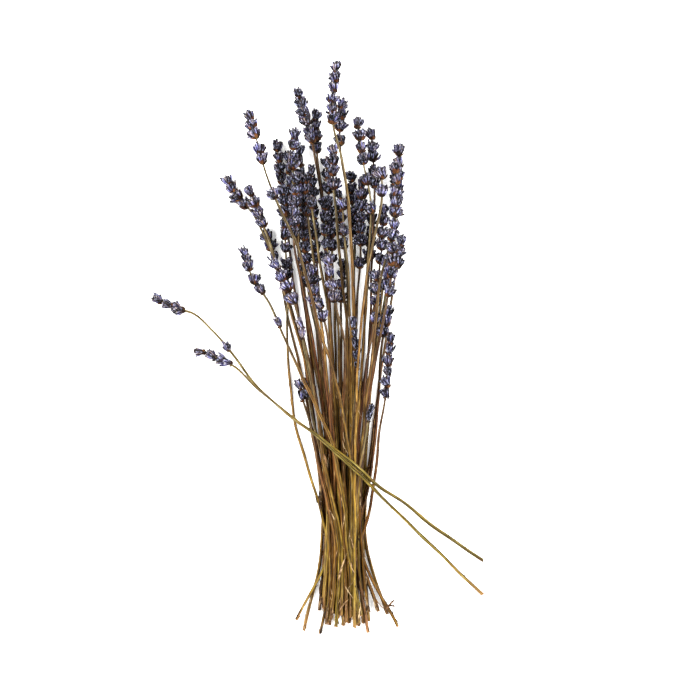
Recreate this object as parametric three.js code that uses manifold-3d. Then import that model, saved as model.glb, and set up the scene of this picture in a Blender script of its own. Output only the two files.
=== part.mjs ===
// A bunch of dried lavender lying on a table: some fifty square, woody stems side by side and on one
// another, each ending in a flower spike, and two more stems laid across the front of the bunch.
// Millimetres. The table is z = 0, +Y runs from the cut ends to the flowers, and the origin is under
// the waist, where the stems are gathered closest.
import * as THREE from "three";
import { mergeVertices } from "three/addons/utils/BufferGeometryUtils.js";
import Module from "manifold-3d";

const wasm = await Module();
wasm.setup();

// Stems
const FOOT_WIDTH = 2.3; // across the flats at the cut end, kept up to the waist
const NECK_WIDTH = 1.3; // across the flats where the flowers begin
const WAIST_PITCH = 2.1; // neighbours at the waist grow into each other by 0.2 mm
const WAIST_REACH = 30; // the full width is kept this far above the waist
const STEM_STEP = 27; // longest straight run of a stem
const FOOT_FAN = 1.25; // the cut ends spread this much wider than the waist
const FOOT_STRAY = 4; // and each strays sideways, by this much in all
const FOOT_DROP = 49; // a cut end lies about this far below the waist
const FOOT_SPREAD = 13; // and that varies by this much in all

// Flower spikes
const LOBES = 5; // calyces that stand out round one whorl
const WHORL_REACH = 4.5; // from the axis to the tip of a calyx on a full whorl
const TIP_WHORLS = [0.72, 0.9]; // reach of the two top whorls, as a share of a full one
const LOOSE_HEIGHT = 6.5; // of a whorl that stands apart below the spike
const LOOSE_SHARE = 0.95; // and its reach, as a share of a full one
const SPIKE_STEP = 7; // longest straight run of a spike's axis
const RACHIS = 0.8; // radius of the bare axis between whorls
const PRESSED = 0.8; // height of a whorl as a share of its width, pressed by what lies on it

// How the stems lie on one another
const GAP = 0.3; // left between separate pieces
const SIDE = 0.3; // and sideways, before one has to rise over another
const SINK = 0.12; // how far what lies on the table is pressed flat
const BEND = 0.0022; // per mm: how sharply a stem droops past what holds it up
const SAG = 0.003; // per mm: how sharply it dips between two supports
const PROBE = 1.5; // spacing of the places where a stem is tested against those below
const FAR = 12; // stems further apart than this never touch

// The stems of the bunch, layer by layer from the table up and from left to right in each layer.
// rise: points of the stem above the waist. head: foot and tip of its flower spike. whorls: in the
// spike. loose: distances of single whorls below it. foot: the cut end, where it strays from the rest.
const LAYERS = [
  [
    { foot: [-27, -58], rise: [[-24, 90], [-37, 150]], head: [[-46, 189], [-53, 210]], whorls: 3 },
    { rise: [[-20, 80], [-29, 140], [-35, 185]], head: [[-39, 218], [-45, 270]], whorls: 7, girth: 0.8 },
    { rise: [[-17, 80], [-24, 140], [-29, 180]], head: [[-32, 208], [-37, 262]], whorls: 7, girth: 0.75 },
    { rise: [[-13, 80], [-18, 140], [-22, 170]], head: [[-25, 200], [-30, 266]], whorls: 9, girth: 0.75 },
    { rise: [[-10, 80], [-14, 140], [-17, 165]], head: [[-18, 188], [-22, 252]], whorls: 9, girth: 0.75 },
    {
      foot: [-16, -60],
      rise: [[-7, 80], [-10, 150], [-13, 200], [-15, 240]],
      head: [[-18, 262], [-19, 290]],
      whorls: 4,
      girth: 0.8,
    },
    { rise: [[-4, 80], [-6, 140], [-6.5, 170]], head: [[-8, 196], [-12, 258]], whorls: 8, girth: 0.75 },
    { rise: [[-1, 80], [-2, 140]], head: [[-2, 162], [-1, 190]], whorls: 4, girth: 0.8 },
    { rise: [[1, 80], [2, 140], [2, 180]], head: [[0, 198], [-4, 238]], whorls: 5, girth: 0.75 },
    { rise: [[4, 80], [6, 150]], head: [[7, 205], [4, 249]], whorls: 6, girth: 0.8 },
    { rise: [[6, 80], [7, 150], [3, 226]], head: [[-3, 276], [-1, 298]], whorls: 3, loose: [6] },
    { rise: [[10, 80], [14, 150]], head: [[17, 190], [19, 221]], whorls: 4 },
    { rise: [[13, 80], [17, 140], [19, 200]], head: [[20, 255], [18, 277]], whorls: 3, loose: [6, 14] },
    { rise: [[16, 80], [22, 140], [29, 190]], head: [[34, 218], [37, 269]], whorls: 6 },
    { foot: [29, -47], rise: [[19, 70], [27, 130]], head: [[35, 184], [39, 206]], whorls: 3 },
  ],
  [
    {
      foot: [-32, -51],
      rise: [[-15.5, 22], [-24, 50], [-33, 83], [-37, 117], [-38, 137], [-37.5, 165]],
      head: [[-39, 203], [-40, 240]],
      whorls: 5,
      loose: [5, 15.5, 22],
    },
    {
      rise: [[-16, 77], [-21, 107], [-27, 130], [-35, 157], [-49, 197], [-61, 221]],
      head: [[-69, 230], [-79, 244]],
      whorls: 3,
      loose: [4.5],
    },
    { rise: [[-13, 80], [-24, 150], [-31, 215]], head: [[-34, 249], [-33, 276]], whorls: 4 },
    { rise: [[-11, 80], [-18, 140]], head: [[-24, 172], [-26, 217]], whorls: 6 },
    { rise: [[-9, 80], [-15, 150]], head: [[-24, 219], [-27, 246]], whorls: 4 },
    { rise: [[-6, 70], [-8, 130], [-11, 180], [-15, 232]], head: [[-21, 267], [-31, 303]], whorls: 6 },
    { rise: [[-3, 90], [-5, 160]], head: [[-11, 196], [-13, 232]], whorls: 4, loose: [6] },
    { rise: [[4, 70], [7, 130]], head: [[11, 199], [12, 245]], whorls: 6, loose: [12] },
    { rise: [[10, 80], [19, 150]], head: [[25, 197], [27, 227]], whorls: 4, loose: [6.5] },
    { rise: [[14, 70], [21, 130]], head: [[28, 170], [29, 191]], whorls: 3 },
    { foot: [23, -45], rise: [[18, 50], [23, 97], [24, 123]], head: [[26, 139], [30, 159]], whorls: 3 },
    { foot: [36, -55], rise: [[17, 23], [21, 50], [24, 77]], head: [[27, 97], [31, 141]], whorls: 6 },
  ],
  [
    { rise: [[-12, 55], [-19, 93], [-30, 137], [-43, 180]], head: [[-53, 211], [-64, 239]], whorls: 4 },
    { rise: [[-16, 80], [-25, 130]], head: [[-33, 161], [-47, 189]], whorls: 4 },
    { rise: [[-9, 50], [-15, 100], [-23, 150]], head: [[-33, 203], [-31, 246]], whorls: 6 },
    { rise: [[-11, 100]], head: [[-19, 159], [-22, 186]], whorls: 4 },
    {
      rise: [[-7, 110], [-11, 160], [-14, 177], [-17, 197]],
      head: [[-21, 222], [-21.5, 231]],
      whorls: 1,
    },
    { rise: [[2, 80], [2.5, 137], [-2.5, 190]], head: [[-7, 245], [-7, 265]], whorls: 3, loose: [6] },
    { rise: [[4, 80], [4, 140], [3, 180]], head: [[-1, 223], [-1, 232]], whorls: 1, loose: [14] },
    {
      rise: [[5.5, 100], [5.5, 185], [3.5, 220], [-1, 255]],
      head: [[-7, 279], [-5, 322]],
      whorls: 6,
    },
    {
      rise: [[9, 80], [14, 150], [16, 190], [18, 222]],
      head: [[12, 261], [9, 284]],
      whorls: 3,
      loose: [5, 18, 38],
    },
    { foot: [16, -59], rise: [[10, 70], [15, 120]], head: [[21, 158], [20, 183]], whorls: 3, loose: [8] },
    { rise: [[12, 70], [19, 130], [25, 180]], head: [[34, 217], [34, 254]], whorls: 5, loose: [5] },
    { rise: [[14, 80], [24, 140]], head: [[31, 177], [32, 209]], whorls: 4, loose: [9] },
  ],
  [
    { rise: [[-15, 45], [-23, 82]], head: [[-27, 95], [-31, 110]], whorls: 2, girth: 0.75 },
    { rise: [[-15, 60]], head: [[-23, 96], [-26, 112]], whorls: 2, girth: 0.7 },
    { rise: [[-12, 50], [-19, 95]], head: [[-27, 137], [-29, 150]], whorls: 2, girth: 0.85 },
    { rise: [[-8, 80]], head: [[-13, 149], [-18, 163]], whorls: 2, girth: 0.85 },
    { rise: [[-1, 90], [0.5, 134]], head: [[-6, 162], [-11, 193]], whorls: 4 },
    { rise: [[6, 80]], head: [[9, 116], [6, 151]], whorls: 5, girth: 0.6 },
    { rise: [[10, 50]], head: [[16, 82], [18, 94]], whorls: 2, girth: 0.6 },
  ],
  [
    {
      foot: [11, -47],
      rise: [[0, 28], [-4, 50], [-8, 70], [-17, 89], [-29, 115], [-39, 137], [-49, 159]],
      head: [[-63, 183], [-67, 197]],
      whorls: 3,
      loose: [6.5, 15],
    },
    {
      foot: [10, -52],
      rise: [[5, 50], [-1, 90], [-9, 123], [-15, 140], [-21, 163], [-32, 202], [-46, 231]],
      head: [[-58, 270], [-63, 287]],
      whorls: 3,
      loose: [8, 15.5, 40],
    },
    {
      rise: [[8, 83], [9.5, 123], [11, 143], [13, 163], [19, 200], [25, 230]],
      head: [[25, 243], [24.5, 252]],
      whorls: 1,
      loose: [8.5],
    },
  ],
];
const LAYER_SHIFT = [0, 0.5, 0, 0.5, 5]; // middle of each layer at the waist

// The two stems laid across the front, from the cut end at the lower right.
const CROSSING = [
  {
    foot: [93, -11],
    rise: [
      [64, 9], [38, 30], [24, 39], [4, 57], [-16, 72],
      [-33, 84], [-56, 104], [-73, 125], [-88, 143], [-105, 156],
    ],
    head: [[-108, 156.5], [-127, 165]],
    whorls: 3,
    loose: [-1],
  },
  {
    foot: [93, -34],
    rise: [[51, 7], [38, 20], [18, 40], [-3, 60], [-20, 75], [-36, 87], [-56, 103], [-73, 119]],
    head: [[-85, 125], [-101, 130]],
    whorls: 2,
    loose: [4, 8],
  },
];
const CROSSING_BEND = 0.0028; // these two hang down from the bunch to the table on both sides
const CROSSING_STEP = 18; // and bend more, so their straight runs are shorter

const VIOLET = new THREE.MeshStandardMaterial({ color: 0x55527d, roughness: 0.95, metalness: 0 });
const STRAW = new THREE.MeshStandardMaterial({ color: 0x8c7434, roughness: 0.75, metalness: 0 });

// Seeded draws between 0 and 1, by the minimal standard generator.
const MODULUS = 2147483647;
function drawsFor(seed) {
  let state = (seed * 48271 + 11) % MODULUS;
  const next = () => {
    state = (state * 16807) % MODULUS;
    return state / MODULUS;
  };
  for (let i = 0; i < 4; i++) next();
  return next;
}

// A smooth line through the points, sampled about every millimetre. Each piece is a cubic whose ends
// have the slope of the parabola through three neighbouring points.
function smoothLine(points) {
  const gaps = points.slice(1).map((p, i) => Math.hypot(p[0] - points[i][0], p[1] - points[i][1]));
  const chords = gaps.map((h, i) => [0, 1].map((k) => (points[i + 1][k] - points[i][k]) / h));
  const slopes = points.map((_, i) => {
    if (i === 0) return chords[0];
    if (i === points.length - 1) return chords[i - 1];
    return [0, 1].map(
      (k) => (chords[i - 1][k] * gaps[i] + chords[i][k] * gaps[i - 1]) / (gaps[i - 1] + gaps[i]),
    );
  });
  const line = [points[0]];
  gaps.forEach((h, i) => {
    const steps = Math.ceil(h);
    for (let j = 1; j <= steps; j++) {
      const t = j / steps;
      line.push(
        [0, 1].map(
          (k) =>
            points[i][k] * (2 * t ** 3 - 3 * t ** 2 + 1) +
            slopes[i][k] * h * (t ** 3 - 2 * t ** 2 + t) +
            points[i + 1][k] * (3 * t ** 2 - 2 * t ** 3) +
            slopes[i + 1][k] * h * (t ** 3 - t ** 2),
        ),
      );
    }
  });
  const along = [0];
  for (let i = 1; i < line.length; i++)
    along.push(along[i - 1] + Math.hypot(line[i][0] - line[i - 1][0], line[i][1] - line[i - 1][1]));
  return { line, along };
}

// Where a value lies in a rising list: the step it is in and how far along that step.
function stepOf(list, value) {
  let i = 0;
  while (i < list.length - 2 && list[i + 1] < value) i++;
  return [i, (value - list[i]) / (list[i + 1] - list[i])];
}

// Even stations from a to b, none further apart than step.
function stations(a, b, step) {
  const count = Math.max(1, Math.ceil((b - a) / step));
  return Array.from({ length: count + 1 }, (_, i) => a + ((b - a) * i) / count);
}

// One stem with its spike, seen from above: where its stations lie and where its whorls sit.
function layOut(row, waistX, step, seed) {
  const draw = drawsFor(seed);
  const foot = row.foot ?? [
    waistX * FOOT_FAN + FOOT_STRAY * (draw() - 0.5),
    -FOOT_DROP - FOOT_SPREAD * (draw() - 0.5),
  ];
  const waist = waistX === null ? [] : [[waistX, 0]];
  const { line, along } = smoothLine([foot, ...waist, ...row.rise, ...row.head]);
  const tip = along[along.length - 1];
  const spikeLength = Math.hypot(
    row.head[1][0] - row.head[0][0],
    row.head[1][1] - row.head[0][1],
  );
  const pitch = spikeLength / row.whorls;
  const whorls = [];
  for (const below of [...(row.loose ?? [])].reverse())
    whorls.push({ at: tip - spikeLength - below, height: LOOSE_HEIGHT, share: LOOSE_SHARE });
  for (let k = 0; k < row.whorls; k++)
    whorls.push({
      at: tip - spikeLength + (k + 0.5) * pitch,
      height: pitch,
      share: TIP_WHORLS[row.whorls - 1 - k] ?? 1,
    });
  for (const w of whorls) {
    w.reach = WHORL_REACH * (row.girth ?? 1) * w.share * (0.94 + 0.12 * draw());
    w.turn = (draw() * Math.PI) / LOBES; // half a lobe at most, so that the skin isn't twisted shut
  }
  const spikeStart = whorls[0].at - 0.5 * whorls[0].height - GAP;
  const stemEnd = spikeStart - GAP;
  const bare = stations(0, stemEnd, step);
  const nodes = [...bare, ...stations(spikeStart, tip, SPIKE_STEP)];
  const xy = nodes.map((s) => {
    const [i, t] = stepOf(along, s);
    return [0, 1].map((k) => line[i][k] + (line[i + 1][k] - line[i][k]) * t);
  });
  const waistAt = waistX === null ? 0 : Math.hypot(foot[0] - waistX, foot[1]);
  const girth = 0.96 + 0.08 * draw();
  return { nodes, xy, whorls, bareCount: bare.length, spikeStart, stemEnd, tip, waistAt, girth, seed };
}

// Half the width of the square stem at a place along it.
function halfWidth(stem, s) {
  const t = Math.max(0, (s - stem.waistAt - WAIST_REACH) / (stem.stemEnd - stem.waistAt - WAIST_REACH));
  return (stem.girth * (FOOT_WIDTH + (NECK_WIDTH - FOOT_WIDTH) * Math.min(1, t))) / 2;
}

// How far the flower spike reaches from its axis at a place along it, for something as wide as pad.
function spikeReach(stem, s, pad) {
  let reach = RACHIS + 0.1;
  for (const w of stem.whorls)
    if (Math.abs(s - w.at) < 0.75 * w.height + pad) reach = Math.max(reach, w.reach + 0.1);
  return reach;
}

// The piece's half-thickness at a place: [flat-sided part, round part].
function thickness(stem, s, pad) {
  return s < stem.spikeStart - GAP / 2 ? [halfWidth(stem, s), 0] : [0, spikeReach(stem, s, pad)];
}

// The lowest heights at which a stem clears the table and every stem already laid. Where it passes
// over another it rises by both half-thicknesses, with the round parts meeting as circles. From each
// such place it droops as a parabola, and between two of them it dips no more sharply than SAG allows.
function rest(stem, below, bend) {
  const { nodes, xy } = stem;
  const z = nodes.map(() => 0);
  for (let i = 0; i < nodes.length - 1; i++) {
    const length = nodes[i + 1] - nodes[i];
    const count = Math.max(1, Math.ceil(length / PROBE));
    for (let k = 0; k <= count; k++) {
      const f = k / count;
      const s = nodes[i] + f * length;
      const x = xy[i][0] + f * (xy[i + 1][0] - xy[i][0]);
      const y = xy[i][1] + f * (xy[i + 1][1] - xy[i][1]);
      const [flat, round] = thickness(stem, s, WHORL_REACH);
      let need = flat + PRESSED * round - SINK;
      for (const other of below) {
        if (x < other.box[0] || x > other.box[1] || y < other.box[2] || y > other.box[3]) continue;
        for (let j = 0; j < other.nodes.length - 1; j++) {
          const [ax, ay] = other.xy[j];
          const dx = other.xy[j + 1][0] - ax;
          const dy = other.xy[j + 1][1] - ay;
          const t = Math.min(1, Math.max(0, ((x - ax) * dx + (y - ay) * dy) / (dx * dx + dy * dy)));
          const apart = Math.hypot(x - ax - t * dx, y - ay - t * dy);
          if (apart > FAR) continue;
          const at = other.nodes[j] + t * (other.nodes[j + 1] - other.nodes[j]);
          const [otherFlat, otherRound] = thickness(other, at, flat + round);
          if (other.layer === stem.layer && round === 0 && otherRound === 0) continue;
          const sideways = Math.max(0, apart - flat - otherFlat - SIDE);
          const both = round + otherRound;
          if (sideways > both) continue;
          const there = other.z[j] + t * (other.z[j + 1] - other.z[j]);
          const rise = PRESSED * Math.sqrt(both * both - sideways * sideways);
          const over = there + flat + otherFlat + GAP + rise;
          need = Math.max(need, over);
        }
      }
      const lift = need + bend * (s - nodes[i]) * (nodes[i + 1] - s);
      for (let n = 0; n < nodes.length; n++)
        z[n] = Math.max(z[n], lift - bend * (nodes[n] - s) ** 2);
    }
  }
  for (let sweep = 0; sweep < 300; sweep++)
    for (let n = 1; n < nodes.length - 1; n++) {
      const before = nodes[n] - nodes[n - 1];
      const after = nodes[n + 1] - nodes[n];
      const level =
        (z[n - 1] / before + z[n + 1] / after - (SAG * (before + after)) / 2) / (1 / before + 1 / after);
      z[n] = Math.max(z[n], level);
    }
  stem.z = z;
  stem.box = [
    Math.min(...xy.map((p) => p[0])) - FAR,
    Math.max(...xy.map((p) => p[0])) + FAR,
    Math.min(...xy.map((p) => p[1])) - FAR,
    Math.max(...xy.map((p) => p[1])) + FAR,
  ];
}

// A point on the piece's axis, with the axis's direction there.
function axisAt(stem, s) {
  const [i, t] = stepOf(stem.nodes, s);
  const from = new THREE.Vector3(...stem.xy[i], stem.z[i]);
  const to = new THREE.Vector3(...stem.xy[i + 1], stem.z[i + 1]);
  return { point: from.clone().lerp(to, t), ahead: to.sub(from).normalize() };
}

// The level direction square to the axis at a station, halfway between those of its two neighbours.
function acrossAt(stem, i) {
  const a = stem.xy[Math.max(0, i - 1)];
  const b = stem.xy[Math.min(stem.xy.length - 1, i + 1)];
  return new THREE.Vector3(b[1] - a[1], a[0] - b[0], 0).normalize();
}

// A closed solid from rings of points, each ring joined to the next and both ends drawn to a point.
function loft(rings, first, last) {
  const sides = rings[0].length;
  const points = [first, ...rings.flat(), last];
  const index = [];
  for (let k = 0; k < sides; k++) {
    const next = (k + 1) % sides;
    index.push(0, 1 + k, 1 + next);
    for (let r = 0; r < rings.length - 1; r++) {
      const a = 1 + r * sides;
      const b = a + sides;
      index.push(a + k, b + next, a + next, a + k, b + k, b + next);
    }
    const end = 1 + (rings.length - 1) * sides;
    index.push(end + next, end + k, points.length - 1);
  }
  const geometry = new THREE.BufferGeometry();
  const flat = points.flatMap((p) => [p.x, p.y, p.z]);
  geometry.setAttribute("position", new THREE.Float32BufferAttribute(flat, 3));
  geometry.setIndex(index);
  return geometry;
}

// A stem: a tapering square bar with its flats level.
function stemGeometry(stem) {
  const count = stem.bareCount;
  const rings = [];
  for (let i = 0; i < count; i++) {
    const middle = new THREE.Vector3(...stem.xy[i], stem.z[i]);
    const across = acrossAt(stem, i === count - 1 ? i - 1 : i);
    const half = halfWidth(stem, stem.nodes[i]);
    const corners = [[1, -1], [1, 1], [-1, 1], [-1, -1]];
    rings.push(
      corners.map(([a, b]) =>
        middle.clone().addScaledVector(across, a * half).add(new THREE.Vector3(0, 0, b * half)),
      ),
    );
  }
  const centre = (ring) => ring.reduce((sum, p) => sum.add(p), new THREE.Vector3()).divideScalar(4);
  return loft(rings, centre(rings[0]), centre(rings[count - 1]));
}

// A flower spike: whorl above whorl on the axis, each a crown of pointed calyces that flare up and out
// from a narrower foot, with the bare axis between two whorls that stand apart.
function spikeGeometry(stem) {
  const sides = 2 * LOBES;
  const up = new THREE.Vector3(0, 0, 1);
  const ringAt = (turn, place) =>
    Array.from({ length: sides }, (_, k) => {
      const [s, radius] = place(k % 2 === 0);
      const { point, ahead } = axisAt(stem, Math.min(Math.max(s, stem.spikeStart), stem.tip));
      const across = new THREE.Vector3(ahead.y, -ahead.x, 0).normalize();
      const angle = turn + (k * Math.PI) / LOBES;
      return point
        .addScaledVector(across, radius * Math.cos(angle))
        .addScaledVector(up, PRESSED * radius * Math.sin(angle));
    });
  const rings = [];
  const draw = drawsFor(stem.seed + 500);
  stem.whorls.forEach((w, k) => {
    const turn = w.turn;
    rings.push(ringAt(turn, () => [w.at - 0.4 * w.height, 0.5 * w.reach]));
    rings.push(
      ringAt(turn, (lobe) =>
        lobe
          ? [w.at + (0.2 + 0.25 * draw()) * w.height, (0.86 + 0.14 * draw()) * w.reach]
          : [w.at + 0.02 * w.height, 0.6 * w.reach],
      ),
    );
    const above = stem.whorls[k + 1];
    if (above && above.at - 0.5 * above.height > w.at + 0.6 * w.height) {
      rings.push(ringAt(turn, () => [w.at + 0.5 * w.height, RACHIS]));
      rings.push(ringAt(turn, () => [above.at - 0.5 * above.height, RACHIS]));
    }
  });
  const start = axisAt(stem, stem.spikeStart).point;
  const end = axisAt(stem, stem.tip).point;
  return loft(rings, start, end);
}

function solidOf(geometry) {
  const bare = new THREE.BufferGeometry();
  bare.setAttribute("position", geometry.getAttribute("position"));
  bare.setIndex(geometry.index);
  const merged = mergeVertices(bare, 1e-4);
  return new wasm.Manifold(
    new wasm.Mesh({
      numProp: 3,
      vertProperties: new Float32Array(merged.getAttribute("position").array),
      triVerts: new Uint32Array(merged.index.array),
    }),
  );
}

// What would reach under the table is cut off level with it, which leaves the flats it rests on.
const UNDER = 20;
const underTable = solidOf(new THREE.BoxGeometry(1000, 1000, UNDER).translate(0, 0, -UNDER / 2));

function meshOf(name, solid, material) {
  const standing = solid.boundingBox().min[2] < 0 ? solid.subtract(underTable) : solid;
  const mesh = standing.getMesh();
  const geometry = new THREE.BufferGeometry();
  geometry.setAttribute("position", new THREE.Float32BufferAttribute(mesh.vertProperties, 3));
  geometry.setIndex(new THREE.Uint32BufferAttribute(mesh.triVerts, 1));
  geometry.computeVertexNormals();
  const piece = new THREE.Mesh(geometry, material);
  piece.name = name;
  return piece;
}

// Lay the whole bunch, bottom layer first, then the two stems across it.
function layBunch() {
  const laid = [];
  LAYERS.forEach((rows, layer) =>
    rows.forEach((row, i) => {
      const waistX = (i - (rows.length - 1) / 2) * WAIST_PITCH + LAYER_SHIFT[layer];
      const stem = layOut(row, waistX, STEM_STEP, laid.length + 1);
      stem.layer = layer;
      rest(stem, laid, BEND);
      laid.push(stem);
    }),
  );
  CROSSING.forEach((row, i) => {
    const stem = layOut(row, null, CROSSING_STEP, laid.length + 1);
    stem.layer = LAYERS.length + i;
    rest(stem, laid, CROSSING_BEND);
    laid.push(stem);
  });
  return laid;
}

const bunch = new THREE.Group();
bunch.name = "dried_lavender_bunch";
const laid = layBunch();
const stems = new THREE.Group();
const spikes = new THREE.Group();
LAYERS.forEach((_, layer) => {
  const solids = laid.filter((stem) => stem.layer === layer).map((stem) => solidOf(stemGeometry(stem)));
  const joined = solids.reduce((sum, solid) => sum.add(solid));
  stems.add(meshOf("stem_layer_" + (layer + 1), joined, STRAW));
});
CROSSING.forEach((_, i) => {
  const stem = laid[laid.length - CROSSING.length + i];
  stems.add(meshOf("crossing_stem_" + (i + 1), solidOf(stemGeometry(stem)), STRAW));
});
laid.forEach((stem, i) => {
  const name = "flower_spike_" + String(i + 1).padStart(2, "0");
  spikes.add(meshOf(name, solidOf(spikeGeometry(stem)), VIOLET));
});
bunch.add(stems, spikes);
export default bunch;
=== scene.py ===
"""The looks of a bunch of dried lavender that lies on a table: square grooved stems, ribbed felted
calyces in whorls, papery bracts and withered corollas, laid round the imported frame."""

import math

import bpy
import numpy as np
from bpy.props import FloatProperty, FloatVectorProperty, IntProperty, PointerProperty
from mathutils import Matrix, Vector


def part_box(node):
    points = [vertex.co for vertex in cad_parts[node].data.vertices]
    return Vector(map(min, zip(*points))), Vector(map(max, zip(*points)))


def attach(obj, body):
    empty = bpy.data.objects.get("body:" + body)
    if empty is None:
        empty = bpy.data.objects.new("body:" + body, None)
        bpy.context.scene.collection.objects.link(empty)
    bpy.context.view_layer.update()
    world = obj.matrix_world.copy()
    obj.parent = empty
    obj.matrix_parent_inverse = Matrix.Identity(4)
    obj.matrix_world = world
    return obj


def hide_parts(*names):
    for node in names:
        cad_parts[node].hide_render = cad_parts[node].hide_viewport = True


bl_info = {
    "name": "Dried lavender bunch",
    "version": (1, 0, 0),
    "blender": (4, 5, 0),
    "location": "View3D > Sidebar > Lavender",
    "description": "Builds the stems and flower spikes of a bunch of dried lavender",
    "category": "Object",
}

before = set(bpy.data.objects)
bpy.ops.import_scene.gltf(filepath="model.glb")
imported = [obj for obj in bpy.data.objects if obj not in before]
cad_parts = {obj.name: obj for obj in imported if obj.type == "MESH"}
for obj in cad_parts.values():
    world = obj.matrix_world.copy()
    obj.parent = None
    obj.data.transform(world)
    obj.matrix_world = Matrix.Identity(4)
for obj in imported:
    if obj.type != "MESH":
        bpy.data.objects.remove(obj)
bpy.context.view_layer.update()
BODY = "root"
MM = 0.001

# Stems, in metres: the sizes of the part's source
FOOT_WIDTH = 2.3 * MM  # across the flats at the cut end, kept up to the waist
NECK_WIDTH = 1.3 * MM  # across the flats where the flowers begin
LEAST_GIRTH, GIRTH_RANGE = 0.96, 0.08  # stems differ a little in width
WAIST_PITCH = 2.1 * MM  # from one stem of a layer to the next
WAIST_REACH = 30 * MM  # the full width is kept this far above the waist
FOOT_DROP = 49 * MM  # the cut ends lie this far below the waist
FOOT_SPREAD = 13 * MM  # and are uneven by this much in all
FOOT_FAN = 1.25  # how much further apart than at the waist they lie
FOOT_STRAY = 4 * MM  # and how much they stray sideways in all
STEM_STEP = 27 * MM  # between two stations of a stem, at most
CROSSING_STEP = 18 * MM

# Flower spikes
WHORL_REACH = 4.5 * MM  # from the axis to the tip of a calyx on a full whorl
LEAST_REACH, REACH_RANGE = 0.94, 0.12  # whorls differ a little in reach
TIP_WHORLS = (0.72, 0.9)  # reach of the two top whorls, as a share of a full one
LOOSE_HEIGHT = 6.5 * MM  # of a whorl that stands apart below the spike
LOOSE_SHARE = 0.95  # its reach, as a share of a full one
WHORL_SPAN = 0.75  # a whorl is wide this far from its middle, as a share of its height
SPIKE_STEP = 7 * MM  # between two stations of a spike, at most
RACHIS = 0.8 * MM  # from the axis to its side, between the whorls
PRESSED = 0.8  # height of a whorl as a share of its width, pressed by what lies on it

# How the stems lie on one another
GAP = 0.3 * MM  # between a stem and what lies on it, and between it and its spike
SIDE = 0.3 * MM  # between two that lie side by side
SINK = 0.12 * MM  # the lowest are pressed this far into the table
ROOM = 0.1 * MM  # kept free round a spike
BEND = 0.0022 / MM  # how sharply a stem droops past what holds it up
CROSSING_BEND = 0.0028 / MM
SAG = 0.003 / MM  # how sharply it dips between two supports
SAG_ROUNDS = 300  # sweeps along it that bring every dip down to that
PROBE = 1.5 * MM  # between the places where it is tested for what lies under it
FAR = 12 * MM  # stems further apart than this never touch
AGREES = 1.5 * MM  # a spike laid here lies this near its node in the frame

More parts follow.
